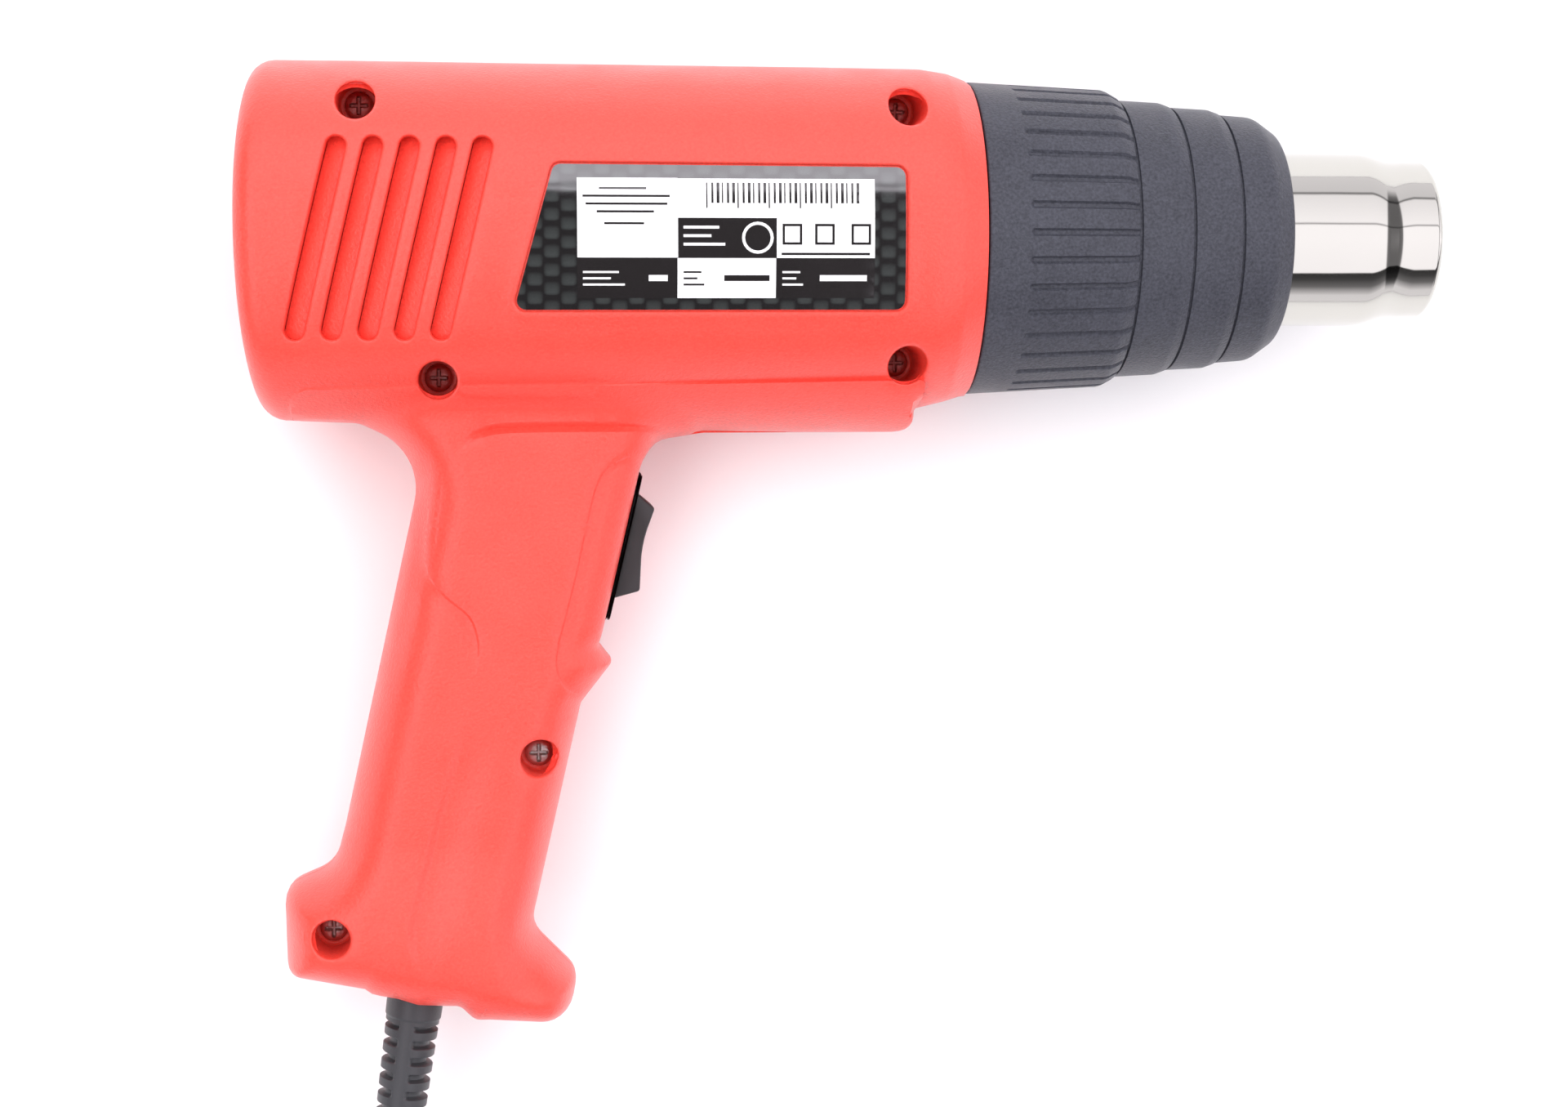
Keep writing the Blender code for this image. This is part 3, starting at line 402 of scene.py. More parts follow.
def shifted(line, distance, closed=True):
    """The line moved to its left by the distance, with corners mitred."""
    before, after = line[-1:] + line[:-1], line[1:] + line[:1]
    if not closed:
        before[0] = tuple(2 * Vector(line[0]) - Vector(line[1]))
        after[-1] = tuple(2 * Vector(line[-1]) - Vector(line[-2]))
    moved = []
    for previous, here, following in zip(before, line, after):
        arriving = (Vector(here) - Vector(previous)).normalized()
        leaving = (Vector(following) - Vector(here)).normalized()
        normal = Vector((-arriving.y - leaving.y, arriving.x + leaving.x))
        moved.append(tuple(Vector(here) + normal * distance / max(0.4, 1 + arriving.dot(leaving))))
    return moved


def inset_points(outline, distance):
    """Points at the distance inside an anticlockwise outline."""
    moved = shifted(outline, distance)
    keep = signed(moved, outline) > 0.93 * distance  # where no other side is nearer
    return [point for point, good in zip(moved, keep) if good]


def blend(low, high, share):
    return low + (high - low) * np.clip(share, 0, 1)


def smooth_step(share):
    share = np.clip(share, 0, 1)
    return share * share * (3 - 2 * share)


def smooth_max(a, b, width):
    overlap = np.maximum(width - np.abs(a - b), 0)
    return np.maximum(a, b) + overlap**2 / (4 * width)


# ---- shells: shape

def seat_point(along, outward, side=0):
    """A point near the switch: down the grip, out of its front face, and across."""
    x = SWITCH_CENTRE[0] - along * math.sin(GRIP_SLANT) + outward * math.cos(GRIP_SLANT)
    y = SWITCH_CENTRE[1] - along * math.cos(GRIP_SLANT) - outward * math.sin(GRIP_SLANT)
    return (x, y, side)


def rear_face(y):
    """Where the gently bulging rear end lies at a height."""
    return REAR_INSET + (y - REAR_BULGE_Y) ** 2 / REAR_BULGE


def grip_corners():
    """The grip's silhouette from the root of its back, down and round to the root of its front."""
    return [
        (24, -39, 6), (37.6, -45.5, 13), (20, -124.5, 30), (17.6, -133.5, 8), (6.9, -138, 5),
        (7.3, -156.6, 3.5), (30.6, -161.3, 3), (35, -162.8, 5), (43.6, -163.3, 2), (46.9, -167, 4),
        (67.4, -168.6, 7), (69.2, -158.2, 3.8), (59.2, -147.9, 7), (70.4, -99, 3),
        (77.3, -90.2, 1.2), (*seat_point(21.6, 0)[:2], 1.2), (*seat_point(-22.6, 0)[:2], 8),
        (97, -41.4, 4),
    ]


def body_outline():
    """The whole silhouette, anticlockwise from the rear end's lower corner."""
    rear = [(rear_face(y), y, 0) for y in range(29, -30, -6)]
    corners = [(rear_face(-38.2), -38.2, REAR_CORNER), (12, -38.5, 0)] + grip_corners() + [
        (137.5, -41.4, 0), (141.7, -41, 3.5), (142, -36.5, 0.6), (148.3, -35, 3),
        (BARREL_LENGTH, -33.6, 0), (BARREL_LENGTH, 33.7, 0), (148.3, 35, 5), (142.6, 35.9, 8),
        (121, 36.1, 0), (60, 36.4, 0), (11, 36.75, 0), (rear_face(36.7), 36.7, REAR_CORNER),
    ] + rear
    return divided(rounded(corners, 1.6), 1.8)


def relief_offset(point):
    """Distance of a point from the strain relief's axis, or a large number above the grip's end."""
    x, y = point
    if y > GRIP_END_Y:
        return FAR
    x, y = x - RELIEF_ROOT[0], y - RELIEF_ROOT[1]
    return x * math.cos(RELIEF_LEAN) - y * math.sin(RELIEF_LEAN)


def seat_offsets(point):
    """How far a point lies down the grip and out of its front face, from the switch's centre."""
    x, y = point[0] - SWITCH_CENTRE[0], point[1] - SWITCH_CENTRE[1]
    sine, cosine = math.sin(GRIP_SLANT), math.cos(GRIP_SLANT)
    return -x * sine - y * cosine, x * cosine - y * sine


def edge_height(point):
    """How high the shell's side wall stands at a point of the silhouette."""
    x, y = point
    if x > BARREL_LENGTH - 0.01:
        return HALF_WIDTH
    if x < 2 * REAR_CORNER and y > -50:
        share = smooth_step((REAR_CORNER - x + rear_face(y)) / 4)
        return PARTING_EDGE + (HALF_WIDTH - PARTING_EDGE) * share
    along, outward = seat_offsets(point)
    if not SEAT_SPAN[0] < along < SEAT_SPAN[1]:
        share = smooth_step((17 - abs(relief_offset(point))) / 10)
        return PARTING_EDGE + (RELIEF_HOLE + 0.7 - PARTING_EDGE) * share
    share = smooth_step((3 - abs(outward)) / 2.6) * smooth_step((26 - along) / 8)
    return PARTING_EDGE + (SEAT_HALF_WIDTH - PARTING_EDGE) * share


def wall_foot(point):
    """Where the side wall ends: at the seam, or at the opening that it has there."""
    x, y = point
    if x > BARREL_LENGTH - 0.01 and abs(y) < LIP_RADIUS:
        return max(SEAM, math.sqrt(LIP_RADIUS**2 - y * y))
    along, outward = seat_offsets(point)
    if abs(outward) < 0.3 and abs(along) < OPENING_HALF_LENGTH:
        return OPENING_HALF_WIDTH
    across = relief_offset(point)
    if abs(across) < RELIEF_HOLE:
        return max(SEAM, math.sqrt(RELIEF_HOLE**2 - across**2))
    return SEAM


def barrel_height(x, y):
    share = x / BARREL_LENGTH
    taper = np.interp(x, FRONT_CREASES, (0, 0.27, 1))
    height = blend(blend(REAR_HALF_HEIGHT, FRONT_HALF_HEIGHT, share), MOUTH_RADIUS, taper)
    width = blend(HALF_WIDTH, MOUTH_RADIUS - 0.15, taper)
    flatness = blend(SIDE_FLATNESS, MOUTH_FLATNESS, taper)
    depth = np.clip(1 - (x - rear_face(y)) / REAR_ROUNDING, 0, 1)
    shrink = REAR_ROUNDING * (1 - np.sqrt(1 - depth**2))
    rise = np.abs(y - blend(REAR_CENTRE_Y, FRONT_CENTRE_Y, share)) / (height - shrink)
    return (width - shrink) * np.sqrt(np.clip(1 - rise**flatness, 0, 1))


def saddle_outline():
    """The saddle's edge on the barrel's side, seen from above."""
    return divided(rounded([
        (10.6, -60, 0), (160, -60, 0), (160, -50, 0), (SADDLE_X[1], -50, 0),
        (SADDLE_X[1], -29.2, 1.5), (60, -30.4, 0), (11.2, -30.9, 4.5), (SADDLE_X[0], -36, 3),
    ], 1), 1.6)


def saddle_height(x, y):
    share = (x - SADDLE_X[0]) / (SADDLE_X[1] - SADDLE_X[0])
    centre = blend(REAR_CENTRE_Y, FRONT_CENTRE_Y, share)
    rise = np.abs(y - centre) / (centre - blend(*SADDLE_BOTTOM_Y, share))
    return blend(*SADDLE_HALF_WIDTH, share) * np.sqrt(np.clip(1 - rise**SIDE_FLATNESS, 0, 1))


def soft_distance(points, line):
    """Distance to an open line, exact near it and without ridges further in."""
    exact = nearest(points, line, False)[:, 0]
    samples = np.asarray(divided(line, 1, False), float)
    spans = np.linalg.norm(np.diff(samples, axis=0), axis=1)
    middles = (samples[1:] + samples[:-1]) / 2
    power, unit = 6, 1.178  # unit makes a long straight line give its own distance
    sums = []
    for part in chunks(points):
        gaps = np.linalg.norm(part[:, None, :] - middles[None], axis=2)
        sums.append((spans / np.maximum(gaps, 0.3) ** power).sum(1))
    soft = (np.concatenate(sums) / unit) ** (-1 / (power - 1))
    return exact + (soft - exact) * smooth_step((exact - 1.5) / 4)


def edge_base(points, outline):
    """How high the side wall stands at the silhouette's nearest point, and how far off that is."""
    gap, first, share = nearest(points, outline).T
    edges = np.array([edge_height(point) for point in outline])
    first = first.astype(int)
    return blend(edges[first], edges[(first + 1) % len(edges)], share), gap


def grip_height(points, outline):
    """How far the grip's side stands from the parting plane; very low outside the grip."""
    x, y = points.T
    chain = [(20, -36)] + rounded([(20, -36, 0)] + grip_corners() + [(97, -34, 0)], 1.6)[1:]
    distance = soft_distance(points, chain)
    lobe = smooth_step((LOBE_TOP_Y - y) / LOBE_LENGTH)
    thickness = blend(GRIP_HALF_THICKNESS, LOBE_HALF_THICKNESS, lobe)
    base, _ = edge_base(points, outline)
    base = np.where(base > 20, PARTING_EDGE, base)
    share = np.clip(distance / GRIP_EDGE, 0, 1)
    height = base + (thickness - base) * np.sqrt(np.clip(1 - (1 - share) ** GRIP_FLATNESS, 0, 1))
    in_grip = within(points, chain + [(97, -22), (20, -22)]) | (distance < 0.02)
    return np.where(in_grip, height, -40)


# Relief lines of the grip: route, how far the surface drops to the left of it, the width of the
# drop, the width over which it eases off, and the shares of the line over which it fades in and out
UPPER_PANEL = ((47.9, -92), (48.6, -86), (48.3, -82.6), (46.7, -78.6), (42, -74.5), (38.9, -70.9),
               (37.9, -68.1), (37.8, -64.9), (38.2, -59.3), (38.8, -53.8), (39.4, -49))
SWITCH_FRAME = ((84, -45), (79, -46), (75.4, -48), (73.2, -52), (71.1, -60.5), (69, -70),
                (66.6, -79.4), (65.1, -85.3), (64.8, -89.7), (66.2, -93.6), (69.6, -96.4))
LOWER_RIDGE = ((46, -98), (43.4, -109), (40, -120.3), (37.6, -129.9), (35.3, -138.4),
               (34.1, -144.1), (34.9, -150.4), (37.2, -156))
FOOT_CREASE = ((50.5, -145.5), (52.3, -149.5), (54.6, -154.5), (56, -159), (60, -161.3),
               (65, -160.8))
RELIEFS = (
    (UPPER_PANEL, 0.5, 0.6, 4, (0, 0.25), (0.8, 1)),
    (SWITCH_FRAME, 0.5, 0.5, 3, (0, 0.1), (0.97, 1)),
    (LOWER_RIDGE, 0.85, 2.2, 8, (0, 0.35), (0.8, 1)),
    (FOOT_CREASE, 0.4, 2.4, 8, (0, 0.35), (0.4, 0.75)),
)
# Grooves of the grip: route, depth, half width, and the shares over which they fade in and out
UNDER_BARREL = ((43.5, -45.5), (45.9, -42.8), (48.3, -40.8), (51.8, -39.7), (57, -39.3),
                (65.8, -39.2), (75, -39.2), (82.2, -39.3), (86.5, -39.7), (90, -40.6))
BACK_VALLEY = ((36.8, -37), (38, -42), (37.9, -46.9), (37.1, -51.6), (36.5, -59.6), (36.1, -68.4),
               (34.8, -74.9), (31.5, -87.7), (29.4, -95.8))
PANEL_EDGE = ((41.6, -48), (41.1, -51.4), (40.4, -57), (39.8, -62), (39.5, -66))
GROOVES = (
    (UNDER_BARREL, 1.1, 0.7, (0, 0.2), (0.8, 1)),
    (BACK_VALLEY, 0.6, 1.5, (0, 0.25), (0.7, 1)),
    (PANEL_EDGE, 0.3, 0.4, (0, 0.25), (0.7, 1)),
)


def smooth_line(route, spacing):
    """Points on a smooth curve through the route's points."""
    knots = [Vector(point) for point in route]
    knots = [2 * knots[0] - knots[1]] + knots + [2 * knots[-1] - knots[-2]]
    points = []
    for p0, p1, p2, p3 in zip(knots, knots[1:], knots[2:], knots[3:]):
        steps = max(1, round((p2 - p1).length / spacing))
        for step in range(steps):
            t = step / steps
            points.append(0.5 * (
                2 * p1 + (p2 - p0) * t + (2 * p0 - 5 * p1 + 4 * p2 - p3) * t * t
                + (3 * p1 - p0 - 3 * p2 + p3) * t**3
            ))
    return [tuple(point) for point in points] + [tuple(route[-1])]


def beside(points, route, fade_in, fade_out):
    """Signed distance to the left of a route, and its strength with the fades at its ends."""
    line = smooth_line(route, 1.5)
    gap, index, share = nearest(points, line, False).T
    index = index.astype(int)
    starts, ends = np.array(line[:-1]), np.array(line[1:])
    side = ends[index] - starts[index]
    offset = points - starts[index]
    left = np.sign(side[:, 0] * offset[:, 1] - side[:, 1] * offset[:, 0])
    along = (index + share) / (len(line) - 1)
    strength = smooth_step((along - fade_in[0]) / (fade_in[1] - fade_in[0]))
    strength *= 1 - smooth_step((along - fade_out[0]) / (fade_out[1] - fade_out[0]))
    return left * gap, strength


def relief_drop(points, route, drop, width, easing, fade_in, fade_out):
    """A step beside a line: nothing on its right, the full drop at it, easing off to the left."""
    reach, strength = beside(points, route, fade_in, fade_out)
    step = drop * strength * smooth_step((reach + width / 2) / width)
    return step * (1 - smooth_step((reach - width) / easing))


def slot_line(index):
    """The ends of a slot's middle line, its direction and the direction across it."""
    low, high = (Vector((x + index * SLOT_PITCH, y)) for x, y in (SLOT_LOW, SLOT_HIGH))
    run = (high - low).normalized()
    return low, high, run, Vector((-run.y, run.x))


def slot_outline(index, grow=0):
    """One slanted cooling slot with round ends, anticlockwise."""
    low, high, run, side = slot_line(index)
    radius = SLOT_WIDTH / 2 + grow
    outline = []
    for end, direction, start in ((high, run, -side), (low, -run, side)):
        for step in range(13):
            turn = math.pi * step / 12
            outwards = start * math.cos(turn) + direction * math.sin(turn)
            outline.append(tuple(end + outwards * radius))
    return divided(outline, 1.2)


def label_outline(grow=0):
    corners = [(x, y, 2) for x, y in LABEL_CORNERS]
    outline = divided(rounded(corners, 0.6), 1.6)
    return shifted(outline, -grow) if grow else outline


def angles(count):
    """Evenly spaced angles of a full turn."""
    return [math.tau * step / count for step in range(count)]


def circle(place, radius, count=36):
    x, y = place
    return [(x + radius * math.cos(turn), y + radius * math.sin(turn)) for turn in angles(count)]


HOLLOW, HOLLOW_DEPTH, HOLLOW_REACH = (58.5, -157.5), 0.9, (4.5, 3.2)
# Change of the outer face by the distance from a slot or a well, and from the label
RIM = ((0, -0.75), (0.08, -0.5), (0.2, -0.27), (0.4, -0.09), (0.65, 0))
LABEL_RIM = ((0.1, -LABEL_RECESS), (0.22, -0.5), (0.34, -0.22), (0.55, -0.02), (0.85, 0.04),
             (1.15, 0.1), (1.5, 0))


def shell_height(points, outline, right):
    """Height of one half's outer face above the parting plane."""
    points = np.asarray(points, float)
    x, y = points.T
    barrel = barrel_height(x, y)
    inside = signed(points, saddle_outline())
    step = smooth_step(inside / SADDLE_STEP)
    body = barrel + np.maximum(saddle_height(x, y) - barrel, SADDLE_RISE) * step
    body -= SADDLE_GROOVE * np.exp(-(((inside + 0.35) / 0.3) ** 2))
    height = smooth_max(body, grip_height(points, outline), GRIP_BLEND)
    for line in RELIEFS:
        height -= relief_drop(points, *line)
    for route, depth, width, fade_in, fade_out in GROOVES:
        reach, strength = beside(points, route, fade_in, fade_out)
        height -= depth * strength * np.exp(-((reach / width) ** 2))
    across, down = (x - HOLLOW[0]) / HOLLOW_REACH[0], (y - HOLLOW[1]) / HOLLOW_REACH[1]
    height -= HOLLOW_DEPTH * np.exp(-(across**2 + down**2))
    if right:
        gap = -signed(points, label_outline())
        height += np.interp(gap, *zip(*LABEL_RIM))
        for place in WELLS:
            gap = np.hypot(x - place[0], y - place[1]) - WELL_RADIUS
            height += np.interp(gap, *zip(*RIM))
    for index in range(SLOT_COUNT):
        height += np.interp(-signed(points, slot_outline(index)), *zip(*RIM))
    base, gap = edge_base(points, outline)
    return np.clip(height, PARTING_EDGE, np.sqrt(base**2 + EDGE_SWELL * gap))


# ---- shells: mesh

OUTLINE_LEAST = 140  # a loop with this many points is the silhouette, not a slot
EDGE_CLEARANCE = 0.015
NARROW_SHARE = 0.2  # of the wall's thickness, round slots and wells
EDGE_LOOPS = (0.02, 0.09, 0.2, 0.36, 0.57, 0.83, 1.15, 1.55, 2.05, 2.7, 3.5, 4.5, 5.7)


def chained(lines):
    """The points of closed lines, and the edges between them."""
    points, edges = [], []
    for line in lines:
        start = len(points)
        points += line
        edges += [(start + i, start + (i + 1) % len(line)) for i in range(len(line))]
    return points, edges


def triangles(points, edges):
    """Triangles over the points that keep to the edges, with their middles."""
    flat, _, faces, *_ = delaunay_2d_cdt([Vector(p) for p in points], edges, [], 0, 1e-5, False)
    flat, faces = np.array([tuple(point) for point in flat]), np.array(faces)
    return flat, faces, flat[faces].mean(1)


TRIANGLE_HEIGHT = 0.866  # of an equal-sided triangle with sides of 1


def flat_mesh(outline, loops, loose, spacing):
    """Triangles that fill an outline, leave out the loops, and pass the loose points."""
    points, edges = chained([outline] + loops)
    points += loose
    tree = KDTree(len(points))
    for index, point in enumerate(points):
        tree.insert((*point, 0), index)
    tree.balance()
    low, high = np.min(outline, axis=0), np.max(outline, axis=0)
    rows = np.arange(low[1], high[1], spacing * TRIANGLE_HEIGHT)
    columns = np.arange(low[0], high[0], spacing)
    grid = [(float(x + spacing / 2 * (row % 2)), float(y))
            for row, y in enumerate(rows) for x in columns]
    grid = [point for point, inside in zip(grid, within(grid, outline)) if inside]
    points += [point for point in grid if tree.find((*point, 0))[2] > 0.7 * spacing]
    flat, faces, middles = triangles(points, edges)
    keep = within(middles, outline)
    for hole in loops:
        keep &= ~within(middles, hole)
    return flat, faces[keep]


def lifted(flat, heights):
    """Points in space, from flat ones and their heights."""
    return [(x, y, z) for (x, y), z in zip(flat.tolist(), heights.tolist())]


def open_sides(faces):
    """The sides that only one triangle has."""
    sides = {(a, b) for face in faces for a, b in zip(face, (face[1], face[2], face[0]))}
    return [(a, b) for a, b in sides if (b, a) not in sides]


def boundary_loops(faces):
    """Closed chains of the points along the open sides."""
    after = {b: a for a, b in open_sides(faces)}
    loops = []
    while after:
        start, here = after.popitem()
        loop = [start, here]
        while here in after:
            here = after.pop(here)
            loop.append(here)
        loops.append(loop[:-1])
    return loops


# Section of a slot's floor: across the slot towards its rear edge, and depth under the outer face
LOUVRE_SECTION = ((-2.6, 2.2), (-0.6, 2.9), (1.86, 4.2), (1.86, 5.4), (-2.6, 3.9))
LOUVRE_STEPS, LOUVRE_FALL, LOUVRE_OVERRUN = 13, 1.4, 2.6


def louvre(index):
    """The sloping floor of a slot, open along its rear edge, as points and faces."""
    low, high, run, side = slot_line(index)
    ends = (low - run * LOUVRE_OVERRUN, high + run * LOUVRE_OVERRUN)
    points = []
    for step in range(LOUVRE_STEPS):
        share = step / (LOUVRE_STEPS - 1)
        middle = ends[0].lerp(ends[1], share)
        for across, depth in LOUVRE_SECTION:
            place = middle + side * across
            face = float(barrel_height(np.array([place.x]), np.array([place.y]))[0])
            points.append((place.x, place.y, face - depth - LOUVRE_FALL * (share - 0.4)))
    return points, loft_faces(len(LOUVRE_SECTION), LOUVRE_STEPS)


def feature_points(outline, right):
    """Points that the outer face's mesh passes: beside its edges and rims, and along its lines."""
    points = [point for distance in EDGE_LOOPS for point in inset_points(outline, distance)]
    for gap, _ in RIM[1:]:
        for index in range(SLOT_COUNT):
            points += slot_outline(index, gap)
        if right:
            for place in WELLS:
                points += circle(place, WELL_RADIUS + gap)
    saddle = saddle_outline()
    for inwards in (-0.7, -0.35, 0, SADDLE_STEP / 2, SADDLE_STEP):
        points += shifted(saddle, inwards)
    for x in FRONT_CREASES[:2]:
        points += divided([(x, -34), (x, 34)], 1.5, False)
    for lines, reach in ((GROOVES, 1.6), (RELIEFS, 0.5)):
        for route, _, width, *_ in lines:
            line = smooth_line(route, 1.5)
            for share in (-reach, -reach / 2, 0, reach / 2, reach):
                points += shifted(line, share * width, False)
    if right:
        for gap, _ in LABEL_RIM:
            points += label_outline(gap)
    return np.array(points)


def add_walls(points, faces, right):
    """Adds the side wall and the walls of slots and wells; the indices of the last two's points."""
    narrow = []
    for loop in boundary_loops(faces):
        middle = np.mean([points[i][:2] for i in loop], axis=0)
        well = [place for place in WELLS if right and math.dist(place, middle) < 1]
        rings = [loop]

        def ring(height, share=0):
            """Adds a ring below the loop, moved by the share towards the well's middle."""
            rings.append(list(range(len(points), len(points) + len(loop))))
            for x, y, z in [points[i] for i in loop]:
                if share:
                    x, y = Vector((x, y)).lerp(Vector(well[0]), share)
                points.append((x, y, height(x, y, z)))

        if well:
            hole = 1 - SHANK_RADIUS / WELL_RADIUS
            for rise, share in ((0.4, 0), (0, 0.08), (0, hole), (-3, hole)):
                ring(lambda *_: WELL_FLOOR_Z + rise, share)
        elif len(loop) < OUTLINE_LEAST:
            ring(lambda x, y, z: z - SLOT_DEPTH)
        else:
            ring(lambda x, y, _: wall_foot((x, y)))
        if well or len(loop) < OUTLINE_LEAST:
            narrow += [i for row in rings for i in row]
        for upper, lower in zip(rings, rings[1:]):
            for i in range(len(loop)):
                j = (i + 1) % len(loop)
                faces.append((upper[i], upper[j], lower[j], lower[i]))
    return narrow


def thicken(made, narrow):
    """Gives a skin its wall inwards, much thinner at the narrow points."""
    thin = made.vertex_groups.new(name="thickness")
    thin.add(list(range(len(made.data.vertices))), 1, "REPLACE")
    thin.add(narrow, NARROW_SHARE, "REPLACE")
    wall = made.modifiers.new("wall", "SOLIDIFY")
    wall.vertex_group = thin.name
    wall.thickness = SHELL_WALL * MM
    wall.offset = -1
    graph = bpy.context.evaluated_depsgraph_get()
    made.data = bpy.data.meshes.new_from_object(made.evaluated_get(graph))
    made.modifiers.clear()


def shell(name, right):
    """One clamped half as a thick skin: outer face, side wall, wells, slots and louvres."""
    outline = body_outline()
    holes = [slot_outline(index) for index in range(SLOT_COUNT)]
    holes += [circle(place, WELL_RADIUS) for place in WELLS] if right else []
    loose = feature_points(outline, right)
    keep = signed(loose, outline) > EDGE_CLEARANCE
    for hole in holes:
        keep &= ~within(loose, hole)
    flat, faces = flat_mesh(outline, holes, [tuple(point) for point in loose[keep]], 2)
    points = lifted(flat, shell_height(flat, outline, right))
    faces = [tuple(face) for face in faces.tolist()]
    narrow = add_walls(points, faces, right)
    side = 1 if right else -1
    points = [(x, y, side * z) for x, y, z in points]
    made = piece(name, points, faces, [RED], nodes=[name], slot="red_plastic")
    thicken(made, narrow)
    work = bmesh.new()
    work.from_mesh(made.data)
    for index in range(SLOT_COUNT):
        plate, plate_faces = louvre(index)
        corners = [work.verts.new(world((x, y, side * z))) for x, y, z in plate]
        new = [work.faces.new([corners[i] for i in face]) for face in plate_faces]
        bmesh.ops.recalc_face_normals(work, faces=new)
    work.to_mesh(made.data)
    work.free()
    shade(made.data)


# ---- guard, nozzle, label

def turned(name, profile, columns, materials, depth=None, **more):
    """Turns a closed (x, radius) loop about the barrel's axis; depth lowers it here and there."""
    rings = []
    for turn in angles(columns):
        sizes = [(x, radius - (depth(x, radius, turn) if depth else 0)) for x, radius in profile]
        rings.append([(x, size * math.cos(turn), size * math.sin(turn)) for x, size in sizes])
    loft(name, rings, materials, wrap=True, **more)


GUARD_GROOVES, GROOVE_COLUMNS = 36, 14
GROOVE_BACK, GROOVE_FRONT = 161.9, 185.4
GROOVE_HALF_WIDTH, GROOVE_DEPTH, GROOVE_PHASE = 0.75, 0.8, 0.357


def groove_depth(x, radius, turn):
    if radius < 29.9 or not GROOVE_BACK - 2 < x < GROOVE_FRONT + 0.5:
        return 0
    pitch = math.tau / GUARD_GROOVES
    across = ((turn / pitch - GROOVE_PHASE) % 1 - 0.5) * pitch * radius
    behind = max(0, GROOVE_BACK + GROOVE_HALF_WIDTH - x)
    reach = math.hypot(across, behind) / GROOVE_HALF_WIDTH
    return GROOVE_DEPTH * (1 - smooth_step((reach - 0.35) / 0.8))


def guard():
    outside = rounded([
        (146.6, 29.4, 0.3), (153.3, 29.4, 0), (153.3, 33.35, 0.5), (182.6, 31.9, 3),
        (185.2, 30.5, 0.3), (185.3, 29.2, 0), (185.9, 29.2, 0), (186, 29.75, 0.1), (195, 29.3, 2.5),
        (197, 28.6, 0.3), (197.1, 27.7, 0), (197.6, 27.7, 0), (197.7, 28.3, 0.1),
        (205.8, 27.9, 2.5), (207.8, 27.2, 0.3), (207.9, 26.2, 0), (208.4, 26.2, 0),
        (208.5, 26.8, 0.1), (215.4, 26.3, 4.5), (220.1, 23, 2), (220.7, 20.4, 0.5),
        (220.6, 19.7, 0.3), (216.6, 19.7, 0.5), (215, 23, 0), (198, 25, 0), (184, 27, 0),
        (146.6, 27, 0),
    ], 0.5)
    fine = []
    for here, after in zip(outside, outside[1:] + outside[:1]):
        at_groove_ends = abs(here[0] - GROOVE_BACK) < 10 and here[1] > 31
        fine += divided([here, after], 0.3 if at_groove_ends else 2.5, False)[:-1]
    turned("guard", fine, GUARD_GROOVES * GROOVE_COLUMNS, [BLACK], groove_depth, body="guard",
           nodes=["front_guard"], slot="black_plastic")


def nozzle():
    profile = rounded([
        (93, 18.75, 0), (240.6, 18.75, 13), (246.4, 17.05, 15), (LENGTH - 0.3, 17.05, 1.3),
        (LENGTH + 0.9, 16.2, 0.5), (LENGTH + 0.6, 15.9, 0.4), (246, 16.05, 13), (240.2, 17.7, 11),
        (93, 17.75, 0),
    ], 0.35)
    turned("nozzle", divided(profile, 8), 160, [CHROME], nodes=["nozzle_tube"],
           slot="bright_steel")


PRINT_BLOCKS = (
    (69.1, -4.5, 89.3, 11.4, 0), (89.3, 3.45, 129.2, 11.3, 0), (109.25, -4.55, 129.2, 3.4, 0),
    (69.1, -12.6, 89.1, -4.65, 1), (89.35, -4.5, 109.2, 3.4, 1), (89.2, -12.6, 109.1, -4.6, 0),
    (109.2, -12.6, 129.2, -4.65, 1),
)
PRINT_BARS = (
    (83.4, -9.2, 87.2, -8, 0), (98.6, -9.2, 107.8, -8, 1), (118, -9.2, 127.6, -8, 0),
    (110.2, -4, 128.2, -3.5, 1),
)
# The rows of plain lines in the large white block: start and length
PRINT_LINES = ((73.5, 9.5), (70.2, 17.5), (70.8, 16.4), (73, 11.5), (74.5, 8))


def label_prints():
    """Plain blocks, bars and lines: (outline, 0 for white or 1 for ink), later ones on top."""
    boxes = list(PRINT_BLOCKS)
    for row, (start, length) in enumerate(PRINT_LINES):
        y = 9.1 - 1.55 * row - 0.8 * (row == 4)
        boxes.append((start, y, start + length, y + 0.45, 1))
    for bar in range(30):
        x = 95 + 1.05 * bar
        boxes.append((x, 6.4 if bar % 6 else 5.4, x + (0.28 + 0.3 * ((bar * 7) % 3) / 2), 10.5, 1))
    for row, length in enumerate((7.2, 5.6, 8.4)):
        boxes.append((90.4, 1.3 - 1.7 * row, 90.4 + length, 1.85 - 1.7 * row, 0))
        for x, share, material in ((70.2, 1, 0), (110.4, 0.5, 0), (90.4, 0.5, 1)):
            end = x + share * length
            boxes.append((x, -7.6 - 1.25 * row, end, -7.2 - 1.25 * row, material))
    boxes += PRINT_BARS
    for x in (110.4, 117, 124.4):
        boxes += [(x, -1.9, x + 4, 2.3, 1), (x + 0.5, -1.4, x + 3.5, 1.8, 0)]
    prints = [([(x1, y1), (x2, y1), (x2, y2), (x1, y2)], material)
              for x1, y1, x2, y2, material in boxes]
    ring = [(circle((105.4, -0.5), 3.2 - 0.6 * material, 24), material) for material in (0, 1)]
    return prints + ring


